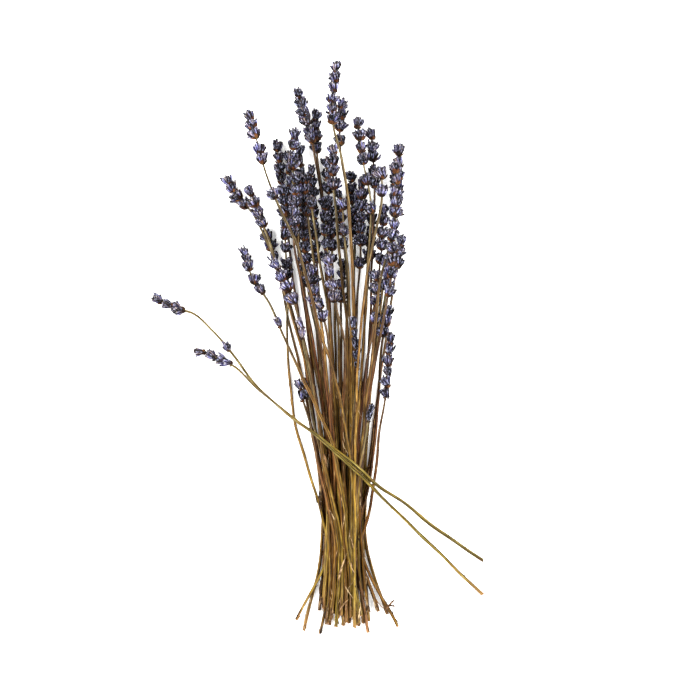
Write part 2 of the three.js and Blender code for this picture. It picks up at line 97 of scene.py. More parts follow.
# The stems of the bunch in millimetres, layer by layer from the table up and from left to right in
# each layer, as in the part's source. rise: points of the stem above the waist. head: foot and tip of
# its flower spike. whorls: in the spike. girth: their reach, as a share of a full one. loose:
# distances of single whorls below the spike. foot: the cut end, where it strays from the rest. Four
# more are for the looks alone. bud: distance below the spike of a whorl that never opened. slim: size
# of the whorls as a share of what girth gives. age_and_shade: of the spike, 0 for a blackened one,
# where the rest follow age_and_shade_of, which also paints shade deep in the bunch. bare: how far
# its calyces have lost their colour.
LAYERS = (
    (
        dict(foot=(-27, -58), rise=((-24, 90), (-37, 150)), head=((-46, 189), (-53, 210)), whorls=3),
        dict(rise=((-20, 80), (-29, 140), (-35, 185)),
             head=((-39, 218), (-45, 270)), whorls=7, girth=0.8),
        dict(rise=((-17, 80), (-24, 140), (-29, 180)),
             head=((-32, 208), (-37, 262)), whorls=7, girth=0.75),
        dict(rise=((-13, 80), (-18, 140), (-22, 170)),
             head=((-25, 200), (-30, 266)), whorls=9, girth=0.75),
        dict(rise=((-10, 80), (-14, 140), (-17, 165)),
             head=((-18, 188), (-22, 252)), whorls=9, girth=0.75),
        dict(foot=(-16, -60), rise=((-7, 80), (-10, 150), (-13, 200), (-15, 240)),
             head=((-18, 262), (-19, 290)), whorls=4, girth=0.8),
        dict(rise=((-4, 80), (-6, 140), (-6.5, 170)),
             head=((-8, 196), (-12, 258)), whorls=8, girth=0.75),
        dict(rise=((-1, 80), (-2, 140)), head=((-2, 162), (-1, 190)), whorls=4, girth=0.8),
        dict(rise=((1, 80), (2, 140), (2, 180)), head=((0, 198), (-4, 238)), whorls=5, girth=0.75),
        dict(rise=((4, 80), (6, 150)), head=((7, 205), (4, 249)), whorls=6, girth=0.8),
        dict(rise=((6, 80), (7, 150), (3, 226)), head=((-3, 276), (-1, 298)), whorls=3, loose=(6,)),
        dict(rise=((10, 80), (14, 150)), head=((17, 190), (19, 221)), whorls=4),
        dict(rise=((13, 80), (17, 140), (19, 200)),
             head=((20, 255), (18, 277)), whorls=3, loose=(6, 14)),
        dict(rise=((16, 80), (22, 140), (29, 190)), head=((34, 218), (37, 269)), whorls=6,
             slim=1.1, bare=0.45),
        dict(foot=(29, -47), rise=((19, 70), (27, 130)), head=((35, 184), (39, 206)), whorls=3),
    ),
    (
        dict(foot=(-32, -51), rise=((-15.5, 22), (-24, 50), (-33, 83), (-37, 117), (-38, 137), (-37.5, 165)),
             head=((-39, 203), (-40, 240)), whorls=5, loose=(5, 15.5, 22)),
        dict(rise=((-16, 77), (-21, 107), (-27, 130), (-35, 157), (-49, 197), (-61, 221)),
             head=((-69, 230), (-79, 244)), whorls=3, loose=(4.5,)),
        dict(rise=((-13, 80), (-24, 150), (-31, 215)), head=((-34, 249), (-33, 276)), whorls=4),
        dict(rise=((-11, 80), (-18, 140)), head=((-24, 172), (-26, 217)), whorls=6),
        dict(rise=((-9, 80), (-15, 150)), head=((-24, 219), (-27, 246)), whorls=4),
        dict(rise=((-6, 70), (-8, 130), (-11, 180), (-15, 232)),
             head=((-21, 267), (-31, 303)), whorls=6),
        dict(rise=((-3, 90), (-5, 160)), head=((-11, 196), (-13, 232)), whorls=4, loose=(6,)),
        dict(rise=((4, 70), (7, 130)), head=((11, 199), (12, 245)), whorls=6, loose=(12,)),
        dict(rise=((10, 80), (19, 150)), head=((25, 197), (27, 227)), whorls=4, loose=(6.5,)),
        dict(rise=((14, 70), (21, 130)), head=((28, 170), (29, 191)), whorls=3),
        dict(foot=(23, -45), rise=((18, 50), (23, 97), (24, 123)),
             head=((26, 139), (30, 159)), whorls=3),
        dict(foot=(36, -55), rise=((17, 23), (21, 50), (24, 77)),
             head=((27, 97), (31, 141)), whorls=6, slim=0.7, age_and_shade=0.3),
    ),
    (
        dict(rise=((-12, 55), (-19, 93), (-30, 137), (-43, 180)),
             head=((-53, 211), (-64, 239)), whorls=4),
        dict(rise=((-16, 80), (-25, 130)), head=((-33, 161), (-47, 189)), whorls=4, bare=0.55),
        dict(rise=((-9, 50), (-15, 100), (-23, 150)), head=((-33, 203), (-31, 246)), whorls=6),
        dict(rise=((-11, 100),), head=((-19, 159), (-22, 186)), whorls=4),
        dict(rise=((-7, 110), (-11, 160), (-14, 177), (-17, 197)),
             head=((-21, 222), (-21.5, 231)), whorls=1),
        dict(rise=((2, 80), (2.5, 137), (-2.5, 190)),
             head=((-7, 245), (-7, 265)), whorls=3, loose=(6,)),
        dict(rise=((4, 80), (4, 140), (3, 180)), head=((-1, 223), (-1, 232)), whorls=1, loose=(14,)),
        dict(rise=((5.5, 100), (5.5, 185), (3.5, 220), (-1, 255)),
             head=((-7, 279), (-5, 322)), whorls=6),
        dict(rise=((9, 80), (14, 150), (16, 190), (18, 222)),
             head=((12, 261), (9, 284)), whorls=3, loose=(5, 18, 38)),
        dict(foot=(16, -59), rise=((10, 70), (15, 120)),
             head=((21, 158), (20, 183)), whorls=3, loose=(8,)),
        dict(rise=((12, 70), (19, 130), (25, 180)), head=((34, 217), (34, 254)), whorls=5, loose=(5,)),
        dict(rise=((14, 80), (24, 140)), head=((31, 177), (32, 209)), whorls=4, loose=(9,)),
    ),
    (
        dict(rise=((-15, 45), (-23, 82)), head=((-27, 95), (-31, 110)), whorls=2, girth=0.75, slim=0.7),
        dict(rise=((-15, 60),), head=((-23, 96), (-26, 112)), whorls=2, girth=0.7, slim=0.6, age_and_shade=0.0),
        dict(rise=((-12, 50), (-19, 95)),
             head=((-27, 137), (-29, 150)), whorls=2, girth=0.85, slim=0.6, bare=0.85),
        dict(rise=((-8, 80),), head=((-13, 149), (-18, 163)), whorls=2, girth=0.85),
        dict(rise=((-1, 90), (0.5, 134)), head=((-6, 162), (-11, 193)), whorls=4, slim=0.85, bare=0.8),
        dict(rise=((6, 80),), head=((9, 116), (6, 151)), whorls=5, girth=0.6, slim=0.6, age_and_shade=0.1),
        dict(rise=((10, 50),), head=((16, 82), (18, 94)), whorls=2, girth=0.6, slim=0.55, age_and_shade=0.1),
    ),
    (
        dict(foot=(11, -47), rise=((0, 28), (-4, 50), (-8, 70), (-17, 89), (-29, 115), (-39, 137),
             (-49, 159)), head=((-63, 183), (-67, 197)), whorls=3, loose=(6.5, 15), slim=0.85, bud=42),
        dict(foot=(10, -52), rise=((5, 50), (-1, 90), (-9, 123), (-15, 140), (-21, 163), (-32, 202),
             (-46, 231)), head=((-58, 270), (-63, 287)), whorls=3, loose=(8, 15.5, 40), slim=1.05),
        dict(rise=((8, 83), (9.5, 123), (11, 143), (13, 163), (19, 200), (25, 230)),
             head=((25, 243), (24.5, 252)), whorls=1, loose=(8.5,)),
    ),
)
LAYER_SHIFT = (0, 0.5, 0, 0.5, 5)  # middle of each layer at the waist
# The two stems laid across the front, from the cut end at the lower right.
CROSSING = (
    dict(foot=(93, -11), rise=((64, 9), (38, 30), (24, 39), (4, 57), (-16, 72), (-33, 84), (-56, 104),
         (-73, 125), (-88, 143), (-105, 156)),
         head=((-108, 156.5), (-127, 165)), whorls=3, loose=(-1,), slim=0.85, bud=41),
    dict(foot=(93, -34), rise=((51, 7), (38, 20), (18, 40), (-3, 60), (-20, 75), (-36, 87),
         (-56, 103), (-73, 119)),
         head=((-85, 125), (-101, 130)), whorls=2, loose=(4, 8), slim=0.8),
)

# the minimal standard generator of random numbers
MODULUS = 2147483647


def unit(rows):
    """Vectors brought to length 1."""
    return rows / np.linalg.norm(rows, axis=-1, keepdims=True)


def draws_for(seed):
    """Seeded draws between 0 and 1, by the minimal standard generator."""
    state = (seed * 48271 + 11) % MODULUS
    count = 0
    while True:
        state = state * 16807 % MODULUS
        count += 1
        if count > 4:
            yield state / MODULUS


def smooth(knots, values, at):
    """Values at the places at, on cubics through the knots. The slope at a knot is that of the
    parabola through it and its two neighbours, and at an end that of the first or last chord."""
    step = np.diff(knots)[:, None]
    chord = np.diff(values, axis=0) / step
    inner = (chord[:-1] * step[1:] + chord[1:] * step[:-1]) / (step[:-1] + step[1:])
    slope = np.concatenate([chord[:1], inner, chord[-1:]])
    i = np.clip(np.searchsorted(knots, at) - 1, 0, len(step) - 1)
    h = step[i]
    t = (at - knots[i])[:, None] / h
    return (
        values[i] * (2 * t**3 - 3 * t**2 + 1)
        + slope[i] * h * (t**3 - 2 * t**2 + t)
        + values[i + 1] * (3 * t**2 - 2 * t**3)
        + slope[i + 1] * h * (t**3 - t**2)
    )


def stations(a, b, step):
    """Even stations from a to b, none further apart than step."""
    return np.linspace(a, b, max(1, math.ceil((b - a) / step)) + 1)


class Stem:
    """One stem with its spike: where it lies, seen from above, and how thick it is."""

    def __init__(self, row, waist_x, step, seed, layer):
        draw = draws_for(seed)
        points = [np.array(p) * MM for p in (*row["rise"], *row["head"])]
        if waist_x is not None:
            points.insert(0, np.array([waist_x, 0.0]))
        if "foot" in row:
            foot = np.array(row["foot"]) * MM
        else:
            stray = FOOT_STRAY * (next(draw) - 0.5)
            foot = np.array([waist_x * FOOT_FAN + stray, -FOOT_DROP - FOOT_SPREAD * (next(draw) - 0.5)])
        points = np.array([foot, *points])
        runs = np.hypot(*np.diff(points, axis=0).T)
        knots = np.concatenate([[0], np.cumsum(runs)])
        # a point every millimetre, and none more for a rounding error
        fine = [
            np.linspace(a, b, math.ceil((b - a) / MM - 1e-9) + 1)[1:]
            for a, b in zip(knots[:-1], knots[1:])
        ]
        self.line = smooth(knots, points, np.concatenate([[0], *fine]))
        self.along = np.concatenate([[0], np.cumsum(np.hypot(*np.diff(self.line, axis=0).T))])
        self.tip = self.along[-1]
        self.whorls = self.whorls_of(row, draw)
        first = self.whorls[0]
        self.spike_start = first["at"] - 0.5 * first["height"] - GAP
        self.stem_end = self.spike_start - GAP
        bare = stations(0, self.stem_end, step)
        self.nodes = np.concatenate([bare, stations(self.spike_start, self.tip, SPIKE_STEP)])
        self.bare_count = len(bare)
        self.xy = self.place(self.nodes)
        self.waist_at = 0 if waist_x is None else math.hypot(foot[0] - waist_x, foot[1])
        self.girth = LEAST_GIRTH + GIRTH_RANGE * next(draw)
        self.seed, self.layer = seed, layer
        self.bud = self.tip - math.dist(*row["head"]) * MM - row["bud"] * MM if "bud" in row else None
        self.slim, self.age_and_shade, self.bare = row.get("slim", 1), row.get("age_and_shade"), row.get("bare", 0)

    def whorls_of(self, row, draw):
        """The whorls from the lowest up: the loose ones, then those of the spike."""
        spike = math.dist(*row["head"]) * MM
        pitch = spike / row["whorls"]
        found = [
            {"at": self.tip - spike - below * MM, "height": LOOSE_HEIGHT, "share": LOOSE_SHARE}
            for below in reversed(row.get("loose", ()))
        ]
        for k in range(row["whorls"]):
            from_top = row["whorls"] - 1 - k
            share = TIP_WHORLS[from_top] if from_top < len(TIP_WHORLS) else 1
            found.append({"at": self.tip - spike + (k + 0.5) * pitch, "height": pitch, "share": share})
        for w in found:
            reach = WHORL_REACH * row.get("girth", 1) * w["share"]
            w["reach"] = reach * (LEAST_REACH + REACH_RANGE * next(draw))
            w["turn"] = next(draw) * math.pi
        return found

    def place(self, s):
        """Where the places s lie, seen from above."""
        return np.stack([np.interp(s, self.along, self.line[:, k]) for k in (0, 1)], axis=-1)

    def half_width(self, s):
        """Half the width of the square stem at a place along it."""
        start = self.waist_at + WAIST_REACH
        t = np.clip((s - start) / (self.stem_end - start), 0, 1)
        return self.girth * (FOOT_WIDTH + (NECK_WIDTH - FOOT_WIDTH) * t) / 2

    def thickness(self, s, pad):
        """Half-thickness, [flat-sided part, round part], for something as wide as pad."""
        reach = np.full(np.broadcast(s, pad).shape, RACHIS + ROOM)
        for w in self.whorls:
            near = np.abs(s - w["at"]) < WHORL_SPAN * w["height"] + pad
            reach = np.where(near, np.maximum(reach, w["reach"] + ROOM), reach)
        bare = s < self.spike_start - GAP / 2
        return np.where(bare, self.half_width(s), 0), np.where(bare, 0, reach)

    def rest(self, below, bend):
        """Heights of the nodes, the lowest that clear the table and every stem already laid.
        Where it passes over another it rises by both half-thicknesses, with the round parts meeting
        as circles. From each such place it droops as a parabola, and between two of them it dips no
        more sharply than SAG allows."""
        run = np.diff(self.nodes)
        spots = [(i, share) for i, long in enumerate(run) for share in stations(0, 1, PROBE / long)]
        i, share = np.array(spots).T
        i = i.astype(int)
        s = self.nodes[i] + share * run[i]
        xy = self.xy[i] + share[:, None] * (self.xy[i + 1] - self.xy[i])
        flat, round_ = self.thickness(s, np.full(s.shape, WHORL_REACH))
        need = flat + PRESSED * round_ - SINK
        for other in below:
            need = np.maximum(need, self.over(other, xy, flat, round_))
        lift = need + bend * (s - self.nodes[i]) * (self.nodes[i + 1] - s)
        z = np.max(lift - bend * (self.nodes[:, None] - s) ** 2, axis=1)
        z = np.maximum(z, 0).tolist()
        run = run.tolist()
        for _ in range(SAG_ROUNDS):
            for n in range(1, len(z) - 1):
                a, b = run[n - 1], run[n]
                level = (z[n - 1] / a + z[n + 1] / b - SAG * (a + b) / 2) / (1 / a + 1 / b)
                z[n] = max(z[n], level)
        self.z = np.array(z)

    def over(self, other, xy, flat, round_):
        """The height each of the places xy on this stem needs to clear another stem, 0 where it is
        clear. flat and round_ are its half-thicknesses there."""
        start, run = other.xy[:-1], np.diff(other.xy, axis=0)
        off = xy[:, None] - start
        t = np.clip((off * run).sum(2) / (run * run).sum(1), 0, 1)
        apart = np.hypot(*np.moveaxis(off - t[..., None] * run, 2, 0))
        if apart.min() > FAR:
            return 0
        at = other.nodes[:-1] + t * np.diff(other.nodes)
        other_flat, other_round = other.thickness(at, (flat + round_)[:, None])
        sideways = np.maximum(0, apart - flat[:, None] - other_flat - SIDE)
        both = round_[:, None] + other_round
        there = other.z[:-1] + t * np.diff(other.z)
        rise = PRESSED * np.sqrt(np.maximum(0, both**2 - sideways**2))
        side_by_side = (other.layer == self.layer) & (both == 0)
        clear = (apart > FAR) | side_by_side | (sideways > both)
        return np.where(clear, 0, there + flat[:, None] + other_flat + GAP + rise).max(axis=1)

    def frames(self, s):
        """Points on the axis at the places s, with the directions ahead, across and up there."""
        s = np.asarray(s, float)
        keep = np.arange(len(self.nodes)) != self.bare_count - 1
        knots, heights = self.nodes[keep], self.z[keep, None]

        def at(places):
            inside = np.clip(places, 0, self.tip)
            return np.column_stack([self.place(inside), smooth(knots, heights, inside)])

        ahead = unit(at(s + MM) - at(s - MM))
        across = unit(np.column_stack([ahead[:, 1], -ahead[:, 0], 0 * s]))
        return at(s), ahead, across, np.cross(across, ahead)


def lay_bunch():
    """The whole bunch, bottom layer first, then the two stems across it."""
    laid = []
    for layer, rows in enumerate(LAYERS):
        for i, row in enumerate(rows):
            waist_x = (i - (len(rows) - 1) / 2) * WAIST_PITCH + LAYER_SHIFT[layer] * MM
            stem = Stem(row, waist_x, STEM_STEP, len(laid) + 1, layer)
            stem.rest(laid, BEND)
            laid.append(stem)
    for i, row in enumerate(CROSSING):
        stem = Stem(row, None, CROSSING_STEP, len(laid) + 1, len(LAYERS) + i)
        stem.rest(laid, CROSSING_BEND)
        laid.append(stem)
    return laid


def in_bunch(layer):
    """Whether a layer belongs to the bunch, and isn't a stem laid across it."""
    return layer < len(LAYERS)


def spike_node(stem):
    """Name of the node that holds a stem's spike."""
    return f"flower_spike_{stem.seed:02d}"


def stem_node(layer):
    """Name of the node that holds a layer of stems."""
    if in_bunch(layer):
        return f"stem_layer_{layer + 1}"
    return f"crossing_stem_{layer - len(LAYERS) + 1}"


def check_against_frame(laid):
    """Each spike's axis has to run inside its node in the frame."""
    for stem in laid:
        low, high = (np.array(c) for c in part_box(spike_node(stem)))
        places = stem.frames(np.linspace(stem.spike_start, stem.tip, 9))[0]
        if np.any(places < low - AGREES) or np.any(places > high + AGREES):
            raise RuntimeError(f"{spike_node(stem)} isn't where the frame has it")


LAID = lay_bunch()
check_against_frame(LAID)


# What a user would change


def linear(hex_colour):
    """An sRGB hex colour as linear RGBA."""
    parts = [int(hex_colour[i : i + 2], 16) / 255 for i in (1, 3, 5)]
    return [c / 12.92 if c <= 0.04045 else ((c + 0.055) / 1.055) ** 2.4 for c in parts] + [1.0]


def colour(name, description, hex_colour):
    """A colour property."""
    return FloatVectorProperty(
        name=name,
        description=description,
        default=linear(hex_colour)[:3],
        subtype="COLOR",
        min=0,
        max=1,
    )


def length(name, description, default):
    """A length property, in metres."""
    return FloatProperty(name=name, description=description, default=default, min=0, unit="LENGTH")


def portion(name, description, default):
    """A property between 0 and 1."""
    return FloatProperty(
        name=name,
        description=description,
        default=default,
        min=0,
        max=1,
        subtype="FACTOR",
    )


class LavenderStemProps(bpy.types.PropertyGroup):
    """The dried stems"""

    foot: colour("Foot", "Olive straw at the cut end", "#a69842")
    middle: colour("Middle", "Golden brown above the waist", "#b59a49")
    upper: colour("Upper", "Brown below the flowers", "#a58054")
    neck: colour("Neck", "Grey-tan among the flowers", "#948d84")
    dark: colour("Dark", "Weathered patches", "#4b321c")
    crossing: colour("Crossing stems", "Olive straw of the two stems laid across", "#847e46")
    cut: colour("Cut end", "Dry wood of the cut ends", "#946842")
    groove: portion("Groove", "Depth of the grooves, as a share of half the width", 0.12)
    knot_swell: portion("Knot", "How much wider a leaf knot is, as a share of the width", 0.18)


class LavenderScrapProps(bpy.types.PropertyGroup):
    """The scraps of leaf and bark"""

    shrivelled: colour("Shrivelled leaf", "Near black leaf", "#2e231a")
    bark: colour("Bark", "Brown skin of a stem", "#704f2e")
    torn: colour("Torn skin", "Pale inside of torn skin", "#b19873")


class LavenderSpikeProps(bpy.types.PropertyGroup):
    """The flower spikes"""

    shortest: length("Shortest calyx", "Length of the shortest calyces", 5.4 * MM)
    longest: length("Longest calyx", "Length of the longest calyces", 7.6 * MM)
    width: length("Calyx width", "Across the belly of a calyx", 1.4 * MM)
    bract_width: length("Bract width", "Across the widest part of a bract", 3.0 * MM)
    calyces: IntProperty(name="Calyces", description="In a full whorl", default=28, min=3)
    calyx_foot: colour("Calyx foot", "Grey-brown foot of a calyx", "#70654b")
    calyx: colour("Calyx", "Violet-grey belly of a calyx", "#8d8dc4")
    # the tip's pale felt carries a painted highlight, and the dark teeth paint shade into the mouth
    calyx_tip: colour("Calyx tip", "Pale felt just under the mouth", "#d9d9e4")
    calyx_teeth: colour("Calyx teeth", "Dark teeth round the mouth", "#1c1821")
    bract: colour("Bract", "Rust brown of the bracts", "#654023")
    corolla: colour("Corolla", "Withered petals", "#4b4061")


class LavenderStageProps(bpy.types.PropertyGroup):
    """The floor, the lights and the camera"""

    floor: colour("Floor", "White acrylic sheet", "#fafaf8")
    glow: FloatProperty(
        name="Glow", description="Light that comes up through the sheet", default=0.35, min=0
    )
    key_power: FloatProperty(
        name="Key light", description="Power of the main lamp", default=106, min=0, unit="POWER"
    )
    lens: FloatProperty(name="Lens", description="Focal length", default=135, unit="CAMERA")


# Meshes. Every piece is made of closed tubes: rings of points carried along a path.


class Skin:
    """Closed tubes gathered into one mesh. marks and grain are vectors kept on the points. marks is
    (tone of the tube, share of the way along it or along the bare part of a stem, brown of a cut end
    or the age of a calyx's spike with painted shade deep in the bunch). grain is the place in the
    tube's own straight frame in metres, so that a pattern follows the tube."""

    def __init__(self):
        self.points, self.marks, self.grain, self.faces, self.finish = [], [], [], [], []
        self.count = 0

    def add(self, rings, ends, marks, grain, finish=0):
        """rings: (tubes, rings, sides, 3). ends: (tubes, 2, 3), the points that close the two ends.
        marks and grain: (tubes, rings, sides, 3), each end point taking those of its nearest ring."""
        tubes, length, sides = rings.shape[:3]
        per = length * sides + 2
        ring = np.arange(sides)
        a = 2 + np.arange(length - 1)[:, None] * sides + ring
        b = 2 + np.arange(length - 1)[:, None] * sides + (ring + 1) % sides
        quads = np.stack([a, b, b + sides, a + sides], axis=2).reshape(-1, 4)
        foot = np.stack([0 * ring, 2 + (ring + 1) % sides, 2 + ring], axis=1)
        last = 2 + (length - 1) * sides
        top = np.stack([0 * ring + 1, last + ring, last + (ring + 1) % sides], axis=1)
        start = self.count + np.arange(tubes)[:, None, None] * per
        for face in (quads, foot, top):
            self.faces += (start + face).reshape(-1, face.shape[1]).tolist()
        self.finish += [finish] * (tubes * (len(quads) + 2 * sides))
        for kept, rows in ((self.points, rings), (self.marks, marks), (self.grain, grain)):
            flat = rows.reshape(tubes, -1, 3)
            if kept is self.points:
                tails = ends
            else:
                tails = np.stack([rows[:, 0].mean(1), rows[:, -1].mean(1)], axis=1)
            kept.append(np.concatenate([tails, flat], axis=1).reshape(-1, 3))
        self.count += tubes * per

    def carry(self, path, side, lift, section, marks, depth, caps, finish=0, rim=0.0, drop=0.0):
        """Adds tubes whose section is carried along their paths. section: x and y of its points on
        each ring, y lowered or raised by drop. marks: the three parts. depth: the place along the
        tube for its grain. caps: how far the points that close its foot and its tip lie past the
        path. rim: how far the points of the last ring are pushed on along it."""
        along = unit(np.gradient(path, axis=1))
        x, y = section
        rings = ring_set(path, side, lift, x, y + drop)
        rings[:, -1] += along[:, -1, None] * np.reshape(rim, (-1, 1))
        ends = np.stack([path[:, 0] - along[:, 0] * caps[0], path[:, -1] + along[:, -1] * caps[1]], axis=1)
        self.add(rings, ends, vectors(x.shape, *marks), vectors(x.shape, x, y, depth), finish)

    def piece(self, name, materials, node=None):
        """The mesh as a piece, which may stand for a node of the frame."""
        points = np.concatenate(self.points)
        points[:, 2] = np.maximum(points[:, 2], 0)  # pressed flat where it lies on the table
        mesh = bpy.data.meshes.new(name)
        mesh.from_pydata(points.tolist(), [], self.faces)
        for title, rows in (("marks", self.marks), ("grain", self.grain)):
            kept = mesh.attributes.new(title, "FLOAT_VECTOR", "POINT")
            kept.data.foreach_set("vector", np.concatenate(rows).ravel().astype(np.float32))
        for material in materials:
            mesh.materials.append(material)
        mesh.polygons.foreach_set("material_index", self.finish)
        mesh.shade_smooth()
        mesh.update()
        made = bpy.data.objects.new(name, mesh)
        bpy.context.scene.collection.objects.link(made)
        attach(made, BODY)
        if node:
            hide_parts(node)


def ring_angles(sides):
    """Even angles round a ring."""
    return np.arange(sides) * 2 * math.pi / sides


def vectors(shape, *parts):
    """Vectors from their three parts, each spread over the tubes, rings and sides of shape."""
    return np.stack([np.broadcast_to(part, shape) for part in parts], axis=-1)


def ring_set(path, side, lift, x, y):
    """Rings with the section points x, y: (tubes, rings, sides)."""
    return path[:, :, None] + side[:, :, None] * x[..., None] + lift[:, :, None] * y[..., None]


# Stems

STEM_RINGS = (0, 0.35 * MM, 1 * MM)  # the first ones, close together round the cut end
STEM_RING = 3 * MM  # and the distance between the others
STEM_SIDES = 12
# Width as a share of the frame's, which fuses the stems of a layer where they are thick: on a stem
# of the bunch and on a crossing one up to the waist, and at the neck of either.
SLIM, SLIM_CROSSING, SLIM_NECK = 0.87, 0.95, 1.08
TAPER = 0.45  # share of its width that the axis has lost at the tip of the spike
RIPPLE = 0.05  # how much the width wanders
WAVER = 0.35 * MM  # most that a stem strays sideways from its smooth line
SQUARENESS = 4.5  # exponent of the rounded square section
ROLL = 0.78  # most that a stem is turned on its own axis, radians
TWIST = 0.25  # and by how much that turn wanders along it
KNOTS = (45 * MM, 105 * MM)  # about where a pair of leaves once grew
KNOT_ASTRAY = 12  # mm, most that a knot is off that place
KNOT_LENGTH = 1.6 * MM
BROWNED = 12 * MM  # how far a cut end has turned brown
CUT_RIM = 0.9  # width of the very end, as a share of the rest
CUT_SLANT = 0.5  # how far a cut end leans, as a share of the width
SLANTED = 2 * MM  # and how far along the stem that fades
FRESH_TONES = (0.6, 1.0)  # the crossing stems are among the paler ones
SPLINTERS = (3, 10)  # from three up to fewer than ten on a stem
SPLINTER_LENGTHS = (3, 12)  # mm
SPLINTER_LIFTS = (0.1, 0.5)  # how far the free end stands off, as a share of the length
SPLINTER_WIDTHS = (0.3, 0.8)  # mm, from the middle to the side
SPLINTER_FLAT = 0.4  # thickness as a share of the width
SPLINTER_SIDES = 4
# along a splinter: share of the way, and its half-width there
SPLINTER_FORM = ((0.0, 0.8), (0.3, 1.0), (0.65, 0.7), (1.0, 0.15))
STRAW, TORN = range(2)  # material slots of the stems


def knotted_width(stem, s, rng, props):
    """Half the width of a stem at the places s: slimmed, thinned in a straight line up its spike, and
    swollen at each of the two knots by exp(-((s - knot) / length)^2)."""
    slim = SLIM if in_bunch(stem.layer) else SLIM_CROSSING
    half = stem.half_width(s) * np.interp(s, (stem.waist_at, stem.stem_end), (slim, SLIM_NECK))
    in_spike = np.clip((s - stem.spike_start) / (stem.tip - stem.spike_start), 0, 1)
    half = half * (1 - TAPER * in_spike)
    for knot in KNOTS:
        place = knot + rng.uniform(-KNOT_ASTRAY, KNOT_ASTRAY) * MM
        half = half * (1 + props.knot_swell * np.exp(-(((s - place) / KNOT_LENGTH) ** 2)))
    return half


def stem_tube(skin, stem, rng, props):
    """A stem and the axis of its spike: a rounded square |x|^n + |y|^n = 1 with a groove along each
    flat, carried along the axis. The cut end is a slanted disc with a low rim."""
    s = np.concatenate([STEM_RINGS, np.arange(STEM_RING, stem.whorls[-1]["at"], STEM_RING)])
    point, ahead, across, up = stem.frames(s)
    half = knotted_width(stem, s, rng, props)
    # slow waves of the width, of the turn and of the line, where they grow over the first 20 mm
    waver = rng.uniform(0, 6)
    half = half * (1 + RIPPLE * np.sin(s / (9 * MM) + waver))
    stray = np.sin(s / (6 * MM) + waver) + np.sin(s / (11 * MM) - 2 * waver)
    point = point + across * (0.5 * WAVER * stray * np.clip(s / (20 * MM), 0, 1))[:, None]
    roll = rng.uniform(-ROLL, ROLL) + TWIST * np.sin(s / (60 * MM) + waver)
    half[0] *= CUT_RIM
    angle = ring_angles(STEM_SIDES)
    c, d = np.cos(angle), np.sin(angle)
    radius = (np.abs(c) ** SQUARENESS + np.abs(d) ** SQUARENESS) ** (-1 / SQUARENESS)
    radius = radius * (1 - props.groove * np.cos(2 * angle) ** 8)
    x, y = radius * c, radius * d
    turned_x = half[:, None] * (x * np.cos(roll)[:, None] - y * np.sin(roll)[:, None])
    turned_y = half[:, None] * (x * np.sin(roll)[:, None] + y * np.cos(roll)[:, None])
    rings = ring_set(point[None], up[None], across[None], turned_x[None], turned_y[None])
    slant = rng.uniform(-1, 1, 2) * CUT_SLANT
    lean = (turned_x * slant[0] + turned_y * slant[1])[..., None] * np.exp(-s / SLANTED)[:, None, None]
    rings = rings + ahead[:, None] * lean
    shape = (1, *turned_x.shape)
    share = (s / stem.stem_end)[:, None]
    browned = rng.uniform(0, 1) ** 4 * np.exp(-s / BROWNED)
    cut = np.where(s == 0, 1.0, browned)[:, None]
    ends = np.stack([point[0] + ahead[0] * 0.15 * MM, point[-1] + ahead[-1] * 0.5 * MM])[None]
    tone = rng.uniform(*((0, 1) if in_bunch(stem.layer) else FRESH_TONES))
    marks = vectors(shape, tone, share, cut)
    grain = vectors(shape, half[:, None] * x, half[:, None] * y, (s + 7 * stem.seed)[:, None])
    skin.add(rings, ends, marks, grain, STRAW)
    peel(skin, stem, rng)


def peel(skin, stem, rng):
    """Splinters and the stubs of stripped leaves, most of them near the cut end: thin pointed strips
    that part from the stem as lift * share^2, up or down it."""
    number = rng.integers(*SPLINTERS)
    at = stem.stem_end * rng.uniform(0, 0.9, number) ** 3
    length = rng.uniform(*SPLINTER_LENGTHS, number)[:, None] * MM * rng.choice((-1, 1), (number, 1))
    at = np.maximum(at, -0.9 * length[:, 0])
    centre, ahead, across, up = stem.frames(at)
    turn = rng.uniform(-0.3, math.pi + 0.3, number)[:, None]  # mostly on the upper half of the stem
    out = across * np.cos(turn) + up * np.sin(turn)
    lift = rng.uniform(*SPLINTER_LIFTS, (number, 1)) * np.abs(length)
    share, form = np.array(SPLINTER_FORM).T
    rise = 0.75 * stem.half_width(at)[:, None] + lift * share**2
    path = centre[:, None] + ahead[:, None] * (length * share)[..., None] + out[:, None] * rise[..., None]
    along = unit(np.gradient(path, axis=1))
    side = unit(np.cross(along, out[:, None]))
    half = rng.uniform(*SPLINTER_WIDTHS, (number, 1, 1)) * MM * form[:, None]
    turn = ring_angles(SPLINTER_SIDES)
    section = half * np.cos(turn), SPLINTER_FLAT * half * np.sin(turn)
    marks = rng.uniform(0, 1, (number, 1, 1)), share[:, None], 0.0
    depth = (length * share)[..., None] + at[:, None, None]
    skin.carry(path, side, np.cross(along, side), section, marks, depth, (0.2 * MM, 0.3 * MM), TORN)


# Scraps of leaf and bark that cling to the bunch. line: their two ends in millimetres. tone: from 0
# for a shrivelled leaf, over bark, to 1 for the pale inside of torn skin. width: in millimetres.

